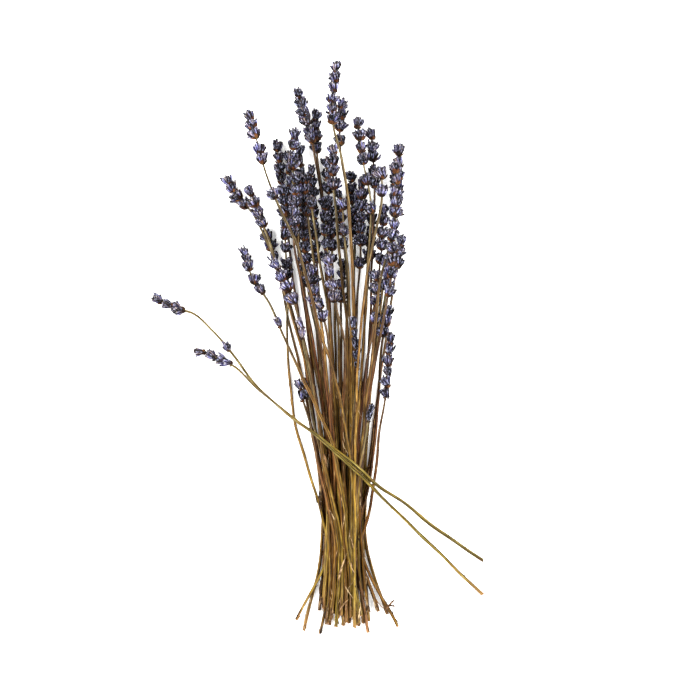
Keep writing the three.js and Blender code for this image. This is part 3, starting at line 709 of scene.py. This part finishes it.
SCRAPS = (
    dict(line=((-4, -25.3), (2, -5.3)), width=1.4, tone=0.75),
    dict(line=((-14.3, -24), (-14, -42)), width=2.6, tone=0.12),
    dict(line=((26.7, -44), (34.7, -36.7)), width=1.8, tone=0.25),
    dict(line=((30, -41), (34.5, -42)), width=1.4, tone=0.3),
    dict(line=((2, -34), (7, -23)), width=1.1, tone=0.8),
    dict(line=((0.5, -27), (6, -35)), width=1.0, tone=1.0),
    dict(line=((4.5, -11), (7, -18)), width=1.0, tone=0.7),
    dict(line=((-3, -44), (3, -36)), width=1.2, tone=0.6),
    dict(line=((-13.5, 61), (-12, 51)), width=1.6, tone=0.5),
    dict(line=((-16.5, 36), (-15.5, 22)), width=1.5, tone=0.1),
    dict(line=((11.6, 33), (12, 21)), width=1.3, tone=0.2),
    dict(line=((16.5, 53), (19, 43)), width=1.2, tone=0.4),
    dict(line=((-1, 70), (3, 61)), width=1.0, tone=0.9),
    dict(line=((8, 96), (6, 84)), width=1.1, tone=0.3),
)
SCRAP_SIDES = 6
# along a scrap: share of the way, and its half-width there
SCRAP_FORM = ((0.0, 0.3), (0.12, 0.8), (0.3, 1.0), (0.5, 0.75), (0.68, 0.95), (0.85, 0.6), (1.0, 0.1))
SCRAP_THICK = 0.15 * MM
SCRAP_BOW = 0.12  # most that it is bowed sideways, as a share of its length
SCRAP_ABOVE = (0.3, 0.9)  # mm, its middle line over the stems under it
SCRAP_EDGE = (0.7, 1.3)  # how ragged its edge is


def top_at(xy):
    """Height of the top of the bunch's stems at the places xy, 0 beside them."""
    top = np.zeros(len(xy))
    for stem in LAID:
        s = np.arange(0, stem.tip, MM)
        line = stem.frames(s)[0]
        off = np.linalg.norm(xy[:, None] - line[:, :2], axis=2)
        nearest = off.argmin(axis=1)
        half = stem.half_width(s[nearest])
        height = np.where(off.min(axis=1) < 1.2 * half, line[nearest, 2] + half, 0)
        top = np.maximum(top, height)
    return top


def scrap(skin, row, rng):
    """A scrap: a thin strip along its line, bowed by sin(pi * share), that lies on the stems under
    it, with a ragged edge and a twist that grows along it."""
    share, form = np.array(SCRAP_FORM).T
    start, end = np.array(row["line"]) * MM
    run = end - start
    bow = rng.uniform(-SCRAP_BOW, SCRAP_BOW) * np.sin(math.pi * share)[:, None]
    xy = start + run * share[:, None] + bow * np.array([-run[1], run[0]])
    height = top_at(xy)
    height = np.maximum(height, 0.5 * (np.roll(height, 1) + np.roll(height, -1)))
    path = np.column_stack([xy, height + rng.uniform(*SCRAP_ABOVE) * MM])[None]
    along = unit(np.gradient(path, axis=1))
    side = unit(np.cross(along, np.array([0.0, 0.0, 1.0])))
    twist = (rng.uniform(-0.5, 0.5) + rng.uniform(-1.2, 1.2) * share)[:, None]
    lift = np.cross(side, along)
    side = side * np.cos(twist) + lift * np.sin(twist)
    turn = ring_angles(SCRAP_SIDES)
    shape = (1, len(share), SCRAP_SIDES)
    x = 0.5 * row["width"] * MM * form[:, None] * np.cos(turn) * rng.uniform(*SCRAP_EDGE, shape)
    y = SCRAP_THICK * np.sin(turn) + 0.5 * np.abs(x)
    section = x[..., ::-1], y[..., ::-1]  # round the other way, as lift is turned over here
    marks = row["tone"], share[:, None], 0.0
    depth = share[:, None] * np.linalg.norm(run) + row["width"]
    skin.carry(path, side, np.cross(side, along), section, marks, depth, (0, 0.5 * MM))


# Flower spikes

GOLDEN = 2.39996  # radians, the angle from one calyx to the next round the axis
FULLER = 1.04  # reach of the calyces round a whorl, as a share of the frame's
LEAN = 0.4  # most that a whorl leans off its axis, as a slope
LEAN_UP = 0.15  # and on the whole the whorls open upwards
UNEVEN = (0.85, 1.12)  # size of a whorl as a share of the even one
ADRIFT = 0.1  # most that a whorl sits off its even place, as a share of its height
FULL = 1.05  # a whorl holds all its calyces from a little under the full size on
FEWEST = 8  # calyces in the smallest whorl
CROWDING = (0.7, 1.1)  # calyces in a whorl, as a share of the number for its size
OFF_TURN = 0.25  # most that a calyx is off its golden angle, radians
FLARE, FLARE_MORE = 0.1, 0.85  # of the innermost calyx, and how much more of the outermost
FLARE_STRAY = (-0.14, 0.12)  # and how much each strays from that
ASTRAY, ASTRAY_FLARE = 0.05, 1.15  # so many calyces stick out from their whorl, and so far
CALYX_FOOT = 0.36  # a calyx starts this far below its whorl's middle, as a share of the height
FOOT_OFF = (-0.08, 0.14)  # and strays from there
CALYX_BOW = (0.38, 0.75)  # exponents of the way out from the axis, the lower the more bowed
CALYX_WIDTHS = (0.78, 1.2)  # as shares of the set width
RIB = 0.12  # height of the ribs, as a share of half the width
CALYX_SIDES = 8
# along a calyx: share of the way, and its half-width there
CALYX_FORM = ((0.0, 0.35), (0.15, 0.7), (0.5, 1.0), (0.85, 1.05), (1.0, 0.85))
TOOTH = 0.15 * MM  # height of the teeth round the mouth
THROAT = 0.9 * MM  # depth of the mouth
BUD = 3.5 * MM  # height of a whorl that never opened
BUD_REACH = 0.6  # its reach, as a share of its height
BRACTS = 7
BRACT_SIDES = 6
# the same of a bract
BRACT_FORM = ((0.0, 0.5), (0.25, 0.95), (0.5, 1.0), (0.75, 0.6), (1.0, 0.12))
BRACT_THICK = 0.12 * MM
BRACT_LENGTHS = (2.4, 4.0)  # mm
BRACT_REACH = (0.7, 0.95)  # of its tip, as a share of the whorl's reach
BRACT_BOW = (0.38, 0.55)  # exponents, as for the calyces
BRACT_WIDTHS = (0.75, 1.15)  # as shares of the set width
BRACT_TURN = 0.4  # most that a bract is off its even angle, radians
COROLLA_SIDES = 5
# and of a withered corolla
COROLLA_FORM = ((0.0, 0.55), (0.45, 0.75), (0.8, 1.0), (1.0, 0.45))
COROLLA_HALF = 0.6 * MM
COROLLA_LENGTHS = (0.6, 1.3)  # mm
COROLLA_SUNK = 0.35  # share of its length that is inside the calyx
COROLLA_CRUMPLE = (0.6, 1.25)  # each point's distance from the middle, as a share of the even one
COROLLA_LEAN = 0.25  # most that it leans out of its calyx, as a slope
COROLLA_SHARE = 0.35  # of the calyces still hold their withered corolla
SHADE_HEART = (-20 * MM, 235 * MM)  # painted light: the spikes further from this place are painted paler, as if more lit, and those near it darker, as if shaded
LIT_PALE_AT = 90 * MM  # and are painted as pale as they get this far from it
CALYX, BRACT, COROLLA = range(3)  # material slots of a spike


def whorl_paths(stem, w, angle, start, length, low, high, bow, share):
    """Paths round one whorl: their points at the given shares of the way, and the directions along,
    to the side and outwards there. Each starts at the distance low from the axis at the place start,
    and its distance grows to high as low + (high - low) * share ^ bow, pressed flat like the whorl.
    The whorl leans a little."""
    centre, ahead, across, up = stem.frames(np.full(len(angle), w["at"]))
    ahead = unit(ahead + w["lean"][0] * across + w["lean"][1] * up)
    across = unit(np.cross(ahead, up))
    up = np.cross(across, ahead)
    out = across * np.cos(angle)[:, None] + up * (PRESSED * np.sin(angle))[:, None]
    side = -across * (PRESSED * np.sin(angle))[:, None] + up * np.cos(angle)[:, None]
    radius = low[:, None] + (high - low)[:, None] * share[None] ** bow[:, None]
    height = start[:, None] + length[:, None] * share
    path = centre[:, None] + ahead[:, None] * height[..., None] + out[:, None] * radius[..., None]
    along = unit(np.gradient(path, axis=1))
    side = np.repeat(side[:, None], len(share), axis=1)
    side = unit(side - along * (side * along).sum(2, keepdims=True))
    return path, along, side, np.cross(along, side)


def eased(size):
    """Size of the calyces in a whorl of this size: they shrink less than it does."""
    return 0.7 + 0.3 * size


def grow_whorl(skin, stem, w, rng, age_and_shade, props):
    """One whorl: calyces set round the axis by the golden angle, the first ones upright and each
    next one flared further out as the root of its share, withered corollas in the mouths of some,
    and bracts that hold the whorl's foot."""
    size = stem.slim * math.sqrt(w["reach"] / WHORL_REACH) * rng.uniform(*UNEVEN)
    w = {**w, "at": w["at"] + rng.uniform(-ADRIFT, ADRIFT) * w["height"]}
    w["lean"] = rng.uniform(-LEAN, LEAN, 2) + np.array([0, LEAN_UP])
    number = max(FEWEST, round(props.calyces * min(1, size * FULL) * rng.uniform(*CROWDING)))
    order = (np.arange(number) + 0.5) / number
    angle = w["turn"] + GOLDEN * np.arange(number) + rng.uniform(-OFF_TURN, OFF_TURN, number)
    flare = FLARE + FLARE_MORE * np.sqrt(order) + rng.uniform(*FLARE_STRAY, number)
    flare = np.where(rng.uniform(0, 1, number) < ASTRAY, ASTRAY_FLARE, flare)
    high = flare * FULLER * size * WHORL_REACH
    whole = rng.uniform(props.shortest, props.longest, number) * eased(size / stem.slim)
    length = np.sqrt(np.maximum(whole**2 - high**2, (0.5 * whole) ** 2))
    start = (-CALYX_FOOT + rng.uniform(*FOOT_OFF, number)) * w["height"]
    low = (0.3 + 0.5 * order) * MM
    bow = rng.uniform(*CALYX_BOW, number)
    share, form = np.array(CALYX_FORM).T
    path, along, side, lift = whorl_paths(stem, w, angle, start, length, low, high, bow, share)
    half = 0.5 * props.width * rng.uniform(*CALYX_WIDTHS, number) * eased(size)
    turn = ring_angles(CALYX_SIDES)
    odd = np.where(np.arange(CALYX_SIDES) % 2 == 0, 1, -1)
    radius = half[:, None, None] * form[None, :, None] * (1 + RIB * odd)
    section = radius * np.cos(turn), radius * np.sin(turn)
    tone = stem.bare + (1 - stem.bare) * rng.uniform(0, 1, (number, 1, 1))
    marks = tone, share[:, None], age_and_shade
    depth = share[:, None] * length[:, None, None] + tone
    skin.carry(path, side, lift, section, marks, depth, (0.2 * MM, -THROAT), CALYX, TOOTH * odd)
    blooms = rng.uniform(0, 1, number) < COROLLA_SHARE
    if blooms.any():
        wither(skin, *(rows[blooms, -1] for rows in (path, along, side, lift)), rng)
    grow_bracts(skin, stem, w, size, rng, props)


def wither(skin, mouth, along, side, lift, rng):
    """Withered corollas: short crumpled tubes out of the mouths, each ring pushed off round by a
    draw of its own."""
    number = len(mouth)
    share, form = np.array(COROLLA_FORM).T
    length = rng.uniform(*COROLLA_LENGTHS, number) * MM
    lean = rng.uniform(-COROLLA_LEAN, COROLLA_LEAN, (number, 2)) * length[:, None]
    path = mouth[:, None] + along[:, None] * ((share - COROLLA_SUNK) * length[:, None])[..., None]
    path = path + side[:, None] * (lean[:, :1] * share**2)[..., None]
    path = path + lift[:, None] * (lean[:, 1:] * share**2)[..., None]
    turn = ring_angles(COROLLA_SIDES)
    shape = (number, len(share), COROLLA_SIDES)
    radius = COROLLA_HALF * form[None, :, None] * rng.uniform(*COROLLA_CRUMPLE, shape)
    section = radius * np.cos(turn), radius * np.sin(turn)
    tone = rng.uniform(0, 1, (number, 1, 1))
    marks = tone, share[:, None], 0.0
    depth = share[:, None] * MM + tone
    skin.carry(path, side[:, None], lift[:, None], section, marks, depth, (0, 0), COROLLA)


def grow_bracts(skin, stem, w, size, rng, props):
    """Papery bracts at the foot of a whorl: thin pointed blades bent round the axis, so that a point
    at x across the blade drops by x^2 over its width."""
    angle = w["turn"] + 2 * math.pi * np.arange(BRACTS) / BRACTS
    angle = angle + rng.uniform(-BRACT_TURN, BRACT_TURN, BRACTS)
    length = rng.uniform(*BRACT_LENGTHS, BRACTS) * MM * size
    start = np.full(BRACTS, -0.5 * w["height"] - 0.3 * MM)
    low = np.full(BRACTS, 0.9 * MM)
    high = rng.uniform(*BRACT_REACH, BRACTS) * size * WHORL_REACH
    bow = rng.uniform(*BRACT_BOW, BRACTS)
    share, form = np.array(BRACT_FORM).T
    path, _, side, lift = whorl_paths(stem, w, angle, start, length, low, high, bow, share)
    half = 0.5 * props.bract_width * size * rng.uniform(*BRACT_WIDTHS, BRACTS)
    turn = ring_angles(BRACT_SIDES)
    x = half[:, None, None] * form[None, :, None] * np.cos(turn)
    y = BRACT_THICK * np.sin(turn) * form[None, :, None]
    towards = ((stem.frames([w["at"]])[0][0] - path) * lift).sum(2)
    drop = np.sign(towards)[..., None] * x**2 / (2.2 * half[:, None, None])
    tone = rng.uniform(0, 1, (BRACTS, 1, 1))
    marks = tone, share[:, None], 0.0
    depth = share[:, None] * length[:, None, None] + tone
    skin.carry(path, side, lift, (x, y), marks, depth, (0, 0.4 * MM), BRACT, drop=drop)


# Materials

RAMP = "ShaderNodeValToRGB"
MIX = "ShaderNodeMix"  # its inputs 0, 6 and 7 are the share and the two colours
COLOURS = {"data_type": "RGBA"}


def add(tree, kind, inputs=None, stops=(), **settings):
    """Adds a node and returns its first live output. inputs gives each socket, by name or number, a
    value or the socket that feeds it. stops are a ramp's (place, colour), hex or linear."""
    node = tree.nodes.new(kind)
    for name, value in settings.items():
        setattr(node, name, value)
    for name, value in (inputs or {}).items():
        if isinstance(value, bpy.types.NodeSocket):
            tree.links.new(value, node.inputs[name])
        else:
            node.inputs[name].default_value = value
    for i, (place, shade) in enumerate(stops):
        element = node.color_ramp.elements[i] if i < 2 else node.color_ramp.elements.new(1.0)
        element.position = place
        element.color = linear(shade) if isinstance(shade, str) else (*shade, 1)
    return next(socket for socket in node.outputs if socket.enabled)


def grain_noise(tree, across_mm, along_mm, detail=4.0):
    """Noise in a tube's own frame, across_mm wide and along_mm long."""
    grain = add(tree, "ShaderNodeAttribute", attribute_name="grain")
    scale = (1 / (across_mm * MM), 1 / (across_mm * MM), 1 / (along_mm * MM))
    place = add(tree, "ShaderNodeMapping", {"Vector": grain, "Scale": scale})
    inputs = {"Vector": place, "Scale": 1.0, "Detail": detail, "Roughness": 0.6}
    return add(tree, "ShaderNodeTexNoise", inputs)


def coat(tree, base, source, stops, share=1.0, blend="MULTIPLY"):
    """The colour base under a coat: the colour that the ramp of stops has at source is multiplied
    into it, or blended with it as blend says, to the given share."""
    over = add(tree, RAMP, {0: source}, stops)
    return add(tree, MIX, {0: share, 6: base, 7: over}, data_type="RGBA", blend_type=blend)


def section(tree):
    """How far a place is from the middle of its tube's section, to either side and up or down, as
    the inputs 0 and 1 of another node."""
    grain = add(tree, "ShaderNodeAttribute", attribute_name="grain")
    parts = add(tree, "ShaderNodeSeparateXYZ", {0: grain}).node.outputs
    return {k: add(tree, "ShaderNodeMath", {0: parts[k]}, operation="ABSOLUTE") for k in (0, 1)}


def new_material(name):
    """A material with its node tree, its shader and the three marks of a tube."""
    material = bpy.data.materials.new(name)
    material.use_nodes = True
    tree = material.node_tree
    marks = add(tree, "ShaderNodeAttribute", attribute_name="marks")
    split = add(tree, "ShaderNodeSeparateXYZ", {0: marks}).node
    return material, tree, tree.nodes["Principled BSDF"], split.outputs


def feed(tree, shader, **sockets):
    """Sets or links the shader's sockets, named with _ for a space."""
    for name, source in sockets.items():
        title = name.replace("_", " ")
        if isinstance(source, bpy.types.NodeSocket):
            tree.links.new(source, shader.inputs[title])
        else:
            shader.inputs[title].default_value = source


def dried_stem(name, stops, dark, cut_colour):
    """Woody dried stem: grown square and dried in the air. Its corners are painted dark and the thin
    groove sunk in each flat is painted darker, as painted shade where the stems meet and in the
    grooves, so that fine dark stripes run along it. Fibres 9 mm long are drawn 0.8 mm wide so that
    they show, weathered patches darken it, and it goes from olive at the foot to grey-tan further up.
    No two stems dried to the same brown."""
    material, tree, shader, (tone, along, cut) = new_material(name)
    base = add(tree, RAMP, {0: along}, stops)
    worn = ((0.42, "#000000"), (0.66, "#c8c8c8"))
    worn = add(tree, RAMP, {0: grain_noise(tree, 1.6, 10.0, 3.0)}, worn)
    base = add(tree, MIX, {0: worn, 6: base, 7: (*dark, 1)}, **COLOURS)
    cast = ((0.0, "#9a7a6a"), (0.14, "#ac8c78"), (0.28, "#c0a894"), (0.5, "#b8b49c"))
    base = coat(tree, base, tone, (*cast, (0.75, "#ccceb0"), (1.0, "#e6e4cc")))
    # 0 in the middle of a flat of the section, 1 on its corner
    across = section(tree)
    less = add(tree, "ShaderNodeMath", across, operation="MINIMUM")
    more = add(tree, "ShaderNodeMath", across, operation="MAXIMUM")
    corner = add(tree, "ShaderNodeMath", {0: less, 1: more}, operation="DIVIDE")
    # painted shade: dark on the corners, where the stems meet, and darker in the groove at the middle of
    # each flat
    edge_and_groove_shade = ((0.0, "#6c5c40"), (0.2, "#fcf4e0"), (0.45, "#e8dcc8"), (0.85, "#201408"))
    base = coat(tree, base, corner, edge_and_groove_shade)
    fibre = grain_noise(tree, 0.8, 9.0)
    base = coat(tree, base, fibre, ((0.36, "#40280c"), (0.5, "#c0ac80"), (0.62, "#ffffff")), 0.7)
    base = coat(tree, base, fibre, ((0.6, "#000000"), (0.76, "#807550")), blend="ADD")
    base = add(tree, MIX, {0: cut, 6: base, 7: (*cut_colour, 1)}, **COLOURS)
    bump = add(tree, "ShaderNodeBump", {"Height": fibre, "Strength": 0.8, "Distance": 0.2 * MM})
    feed(tree, shader, Base_Color=base, Roughness=0.5, Specular_IOR_Level=0.1, Normal=bump)
    return material


def torn_bark(props):
    """Torn bark and shrivelled leaf: the skin of a stem or what is left of a leaf, stripped by hand
    and dried in curls, so pale where it tore and brown to near black where it shrivelled."""
    material, tree, shader, (tone, along, _) = new_material("torn_bark")
    stops = ((0.0, props.shrivelled), (0.45, props.bark), (1.0, props.torn))
    base = add(tree, RAMP, {0: tone}, stops)
    blotch = grain_noise(tree, 0.8, 2.5, 3.0)
    base = coat(tree, base, blotch, ((0.38, "#604c3c"), (0.6, "#ffffff")))
    base = coat(tree, base, along, ((0.0, "#b0a090"), (0.3, "#ffffff")))
    bump = add(tree, "ShaderNodeBump", {"Height": blotch, "Strength": 0.8, "Distance": 0.2 * MM})
    feed(tree, shader, Base_Color=base, Roughness=0.7, Specular_IOR_Level=0.1, Normal=bump)
    return material


def felted_calyx(props):
    """Dried calyx: a ribbed tube under a felt of short hairs, which give it a pale bloom. Grey-brown
    at the foot, violet-grey over the belly, palest under the mouth, pale felt with a painted highlight
    on it, and dark at the teeth, with painted shade in the mouth. Its flanks are painted dark as the
    shade where the calyces crowd one another, and its outer face is left pale, so that a whorl looks
    striped. A few have lost their colour to straw, and some spikes are blackened, which also paints
    shade on the spikes deep in the bunch. The hairs are a tenth of a millimetre long and are drawn as
    tufts 0.9 mm wide, so that they show."""
    material, tree, shader, (tone, along, age_and_shade) = new_material("felted_calyx")
    # palest under the mouth: pale felt with a painted highlight on it; dark at the teeth, which also paints
    # shade in the mouth
    stops = ((0.0, props.calyx_foot), (0.56, props.calyx), (0.72, props.calyx))
    stops = (*stops, (0.88, props.calyx_tip), (1.0, props.calyx_teeth))
    base = add(tree, RAMP, {0: along}, stops)
    cast = ((0.0, "#241e18"), (0.3, "#685c40"), (0.5, "#b0a48c"), (0.75, "#e0e0ec"), (1.0, "#fffaf4"))
    base = coat(tree, base, tone, cast)
    bare = add(tree, RAMP, {0: tone}, ((0.83, "#000000"), (0.88, "#a0a0a0"), (1.0, "#f0f0f0")))
    base = add(tree, MIX, {0: bare, 6: base, 7: linear("#a08a70")}, **COLOURS)
    # painted shade: the spikes deep in the bunch darker and the outlying ones paler, besides their random
    # age
    base = coat(tree, base, age_and_shade, ((0.0, "#484038"), (0.9, "#ffffff")))
    # 0 in the middle of the outer face, 1 and more on the flanks, which are painted with shade where the
    # calyces crowd one another
    shaded_flank = add(tree, "ShaderNodeMath", section(tree), operation="DIVIDE")
    base = coat(tree, base, shaded_flank, ((0.45, "#ffffff"), (1.0, "#605c68")))
    rib = grain_noise(tree, 0.6, 3.0, 3.0)
    base = coat(tree, base, rib, ((0.34, "#4c4650"), (0.5, "#b8b4c0"), (0.62, "#ffffff")), 0.95)
    hairs = grain_noise(tree, 0.9, 1.6, 2.0)
    base = coat(tree, base, hairs, ((0.54, "#000000"), (0.68, "#989bb5")), 0.65, "ADD")
    bump = add(tree, "ShaderNodeBump", {"Height": rib, "Strength": 0.8, "Distance": 0.2 * MM})
    feed(tree, shader, Base_Color=base, Roughness=0.8, Specular_IOR_Level=0.05, Normal=bump)
    feed(tree, shader, Sheen_Weight=0.05, Sheen_Roughness=0.5, Sheen_Tint=linear("#d4d0dc"))
    return material


def papery_bract(props):
    """Papery bract: a thin dry leaf with raised veins, drawn 0.7 mm apart so that they show. Rust
    brown, darker at its point, and no two dried alike."""
    material, tree, shader, (tone, along, _) = new_material("papery_bract")
    stops = ((0.0, "#735e35"), (0.35, props.bract), (0.75, props.bract), (1.0, "#392318"))
    base = add(tree, RAMP, {0: along}, stops)
    cast = ((0.0, "#30241c"), (0.45, "#806854"), (0.8, "#dcc8b4"), (1.0, "#fffce8"))
    base = coat(tree, base, tone, cast)
    vein = grain_noise(tree, 0.7, 4.0, 3.0)
    base = coat(tree, base, vein, ((0.38, "#50403c"), (0.62, "#ffffff")), 0.9)
    bump = add(tree, "ShaderNodeBump", {"Height": vein, "Strength": 0.6, "Distance": 0.12 * MM})
    feed(tree, shader, Base_Color=base, Roughness=0.6, Specular_IOR_Level=0.1, Normal=bump)
    return material


def withered_corolla(props):
    """Withered corolla: petals shrunk to a crumpled scrap, near black to violet, some still pale."""
    material, tree, shader, (tone, _, _) = new_material("withered_corolla")
    stops = ((0.0, "#201823"), (0.45, "#3d3039"), (0.7, props.corolla))
    stops = (*stops, (0.9, "#9189a3"), (1.0, "#b5aeb5"))
    base = add(tree, RAMP, {0: tone}, stops)
    crumple = grain_noise(tree, 0.4, 0.4, 3.0)
    base = coat(tree, base, crumple, ((0.35, "#7a7070"), (0.65, "#ffffff")), 0.7)
    bump = add(tree, "ShaderNodeBump", {"Height": crumple, "Strength": 0.8, "Distance": 0.2 * MM})
    feed(tree, shader, Base_Color=base, Roughness=0.8, Specular_IOR_Level=0.05, Normal=bump)
    return material


# Operators


class LAVENDER_OT_stems(bpy.types.Operator):
    """Grows the dried stems, one piece for each layer of the bunch and each crossing stem"""

    bl_idname = "lavender.stems"
    bl_label = "Stems"

    def execute(self, context):
        props = context.scene.lavender_stems
        shades = ((0.0, props.foot), (0.3, props.middle), (0.68, props.upper), (0.94, props.neck))
        straw = dried_stem("dried_straw", shades, props.dark, props.cut)
        shades = ((0.0, props.crossing), (0.6, props.crossing), (0.88, props.neck))
        fresh = dried_stem("olive_straw", shades, props.middle, props.cut)
        torn = torn_bark(context.scene.lavender_scraps)
        for layer in range(len(LAYERS) + len(CROSSING)):
            skin = Skin()
            for stem in LAID:
                if stem.layer == layer:
                    stem_tube(skin, stem, np.random.default_rng(stem.seed), props)
            finish, slot = (straw, "straw") if in_bunch(layer) else (fresh, "fresh_straw")
            node = stem_node(layer)
            skin.piece("dried_" + node, [finish, torn], node)
        return {"FINISHED"}


class LAVENDER_OT_scraps(bpy.types.Operator):
    """Lays the scraps of stripped leaf and bark that cling to the stems, as one piece"""

    bl_idname = "lavender.scraps"
    bl_label = "Scraps"

    def execute(self, context):
        skin = Skin()
        rng = np.random.default_rng(7)
        for row in SCRAPS:
            scrap(skin, row, rng)
        skin.piece("leaf_and_bark_scraps", [torn_bark(context.scene.lavender_scraps)])
        return {"FINISHED"}


def age_and_shade_of(stem, rng):
    """The age that its looks give a spike, with painted shade: 0 for blackened, 1 and more for the
    palest. Besides a random part, it paints them darker towards the table and the heart of the bunch,
    where shade falls, and paler from the table up and away from that heart, where more light falls."""
    outside = np.hypot(*(stem.place(stem.tip) - np.array(SHADE_HEART))) / LIT_PALE_AT
    age_and_shade = rng.uniform(0, 0.5) + 0.1 * min(stem.layer, 4) + 0.8 * min(1, outside) - 0.2
    return age_and_shade if stem.age_and_shade is None else stem.age_and_shade


class LAVENDER_OT_spikes(bpy.types.Operator):
    """Grows the flower spikes, one piece each, with their calyces, bracts and withered corollas"""

    bl_idname = "lavender.spikes"
    bl_label = "Flower spikes"

    def execute(self, context):
        props = context.scene.lavender_spikes
        finishes = [felted_calyx(props), papery_bract(props), withered_corolla(props)]
        for stem in LAID:
            skin = Skin()
            rng = np.random.default_rng(1000 + stem.seed)
            age_and_shade = age_and_shade_of(stem, rng)
            whorls = list(stem.whorls)
            if stem.bud:
                whorls.append({"at": stem.bud, "height": BUD, "reach": BUD_REACH * BUD, "turn": 0.0})
            for w in whorls:
                grow_whorl(skin, stem, w, rng, age_and_shade, props)
            node = spike_node(stem)
            skin.piece("dried_" + node, finishes, node)
        return {"FINISHED"}


# Stage

FLOOR_HALF = 3.0  # metres, from its middle to its edge
FLOOR_UNDER = 0.2 * MM  # the floor lies this far under the bunch
PHOTO_WIDTH = 0.4667  # metres of the floor that the photograph shows
PHOTO_CENTRE = (0.004, 0.130)
SENSOR = 36.0  # width of the camera's sensor, in millimetres as in the lens
EYE_LEVEL = 10 * MM  # height of the part of the bunch that is seen at its true size


class LAVENDER_OT_stage(bpy.types.Operator):
    """Lays the pale floor and sets the soft lights and the camera over the bunch"""

    bl_idname = "lavender.stage"
    bl_label = "Stage"

    def execute(self, context):
        scene = context.scene
        props = scene.lavender_stage
        lay_floor(scene, props)
        set_lights(scene, props)
        set_camera(scene, props)
        return {"FINISHED"}


def lay_floor(scene, props):
    """A flat square floor of white acrylic. Its upper side is sanded matt and a light under it
    shines through, so that the bunch throws hardly a shadow on it, as in the photograph."""
    mesh = bpy.data.meshes.new("floor")
    square = ((-1, -1), (1, -1), (1, 1), (-1, 1))
    corners = [(x * FLOOR_HALF, y * FLOOR_HALF, -FLOOR_UNDER) for x, y in square]
    mesh.from_pydata(corners, [], [(0, 1, 2, 3)])
    floor = bpy.data.objects.new("floor", mesh)
    scene.collection.objects.link(floor)
    material = bpy.data.materials.new("sanded_white_acrylic")
    material.use_nodes = True
    tree = material.node_tree
    shader = tree.nodes["Principled BSDF"]
    white = (*props.floor, 1)
    feed(tree, shader, Base_Color=white, Roughness=0.9, Specular_IOR_Level=0.2)
    feed(tree, shader, Emission_Color=white, Emission_Strength=props.glow)
    mesh.materials.append(material)


SKY = "#f6f7fa"
SKY_STRENGTH = 0.31
LAMP_SIZE = 1.3
# each lamp's name, its place over the middle of the bunch and its share of the key's power
LAMPS = (
    ("key", (-1.3, 0.7, 1.3), 1.0),
    ("fill", (1.35, -0.6, 1.3), 0.7),
    ("left", (-1.3, -0.8, 1.3), 0.4),
    ("right", (1.25, 0.9, 1.3), 0.4),
)


def set_lights(scene, props):
    """Four large soft lamps halfway up round the bunch, as over a copy stand, so that the gaps
    between the stems stay dark, and a pale room."""
    world = bpy.data.worlds.new("pale_room")
    world.use_nodes = True
    sky = world.node_tree.nodes["Background"]
    sky.inputs["Color"].default_value = linear(SKY)
    sky.inputs["Strength"].default_value = SKY_STRENGTH
    scene.world = world
    middle = Vector((*PHOTO_CENTRE, 0))
    for name, place, share in LAMPS:
        light = bpy.data.lights.new(name, "AREA")
        light.size, light.energy = LAMP_SIZE, share * props.key_power
        lamp = bpy.data.objects.new(name, light)
        lamp.location = middle + Vector(place)
        lamp.rotation_euler = (middle - lamp.location).to_track_quat("-Z", "Y").to_euler()
        scene.collection.objects.link(lamp)


def set_camera(scene, props):
    """Straight down on the bunch, at the height where the frame is as wide as the photograph's."""
    scene.view_settings.view_transform = "Standard"
    camera = bpy.data.cameras.new("camera")
    camera.lens, camera.sensor_width = props.lens, SENSOR
    eye = bpy.data.objects.new("camera", camera)
    eye.location = (*PHOTO_CENTRE, EYE_LEVEL + PHOTO_WIDTH * props.lens / SENSOR)
    scene.collection.objects.link(eye)
    scene.camera = eye


class LAVENDER_PT_panel(bpy.types.Panel):
    """Lists the steps that build the bunch, with their sizes and colours"""

    bl_idname = "LAVENDER_PT_panel"
    bl_label = "Dried lavender"
    bl_space_type = "VIEW_3D"
    bl_region_type = "UI"
    bl_category = "Lavender"

    def draw(self, context):
        for operator, title in STEPS:
            props = getattr(context.scene, title)
            for name in props.bl_rna.properties.keys():
                if name not in ("rna_type", "name"):
                    self.layout.prop(props, name)
            self.layout.operator(operator.bl_idname)


STEPS = (
    (LAVENDER_OT_stems, "lavender_stems"),
    (LAVENDER_OT_scraps, "lavender_scraps"),
    (LAVENDER_OT_spikes, "lavender_spikes"),
    (LAVENDER_OT_stage, "lavender_stage"),
)
GROUPS = {
    "lavender_stems": LavenderStemProps,
    "lavender_scraps": LavenderScrapProps,
    "lavender_spikes": LavenderSpikeProps,
    "lavender_stage": LavenderStageProps,
}
CLASSES = (*GROUPS.values(), *(operator for operator, _ in STEPS), LAVENDER_PT_panel)


def register():
    """Registers the classes and hangs the property groups on the scene."""
    for item in CLASSES:
        bpy.utils.register_class(item)
    for title, group in GROUPS.items():
        setattr(bpy.types.Scene, title, PointerProperty(type=group))


def unregister():
    """Takes them off again."""
    for title in GROUPS:
        delattr(bpy.types.Scene, title)
    for item in reversed(CLASSES):
        bpy.utils.unregister_class(item)


def main():
    """Builds the bunch and its stage."""
    register()
    bpy.ops.lavender.stems()
    bpy.ops.lavender.scraps()
    bpy.ops.lavender.spikes()
    bpy.ops.lavender.stage()


if __name__ == "__main__":
    main()
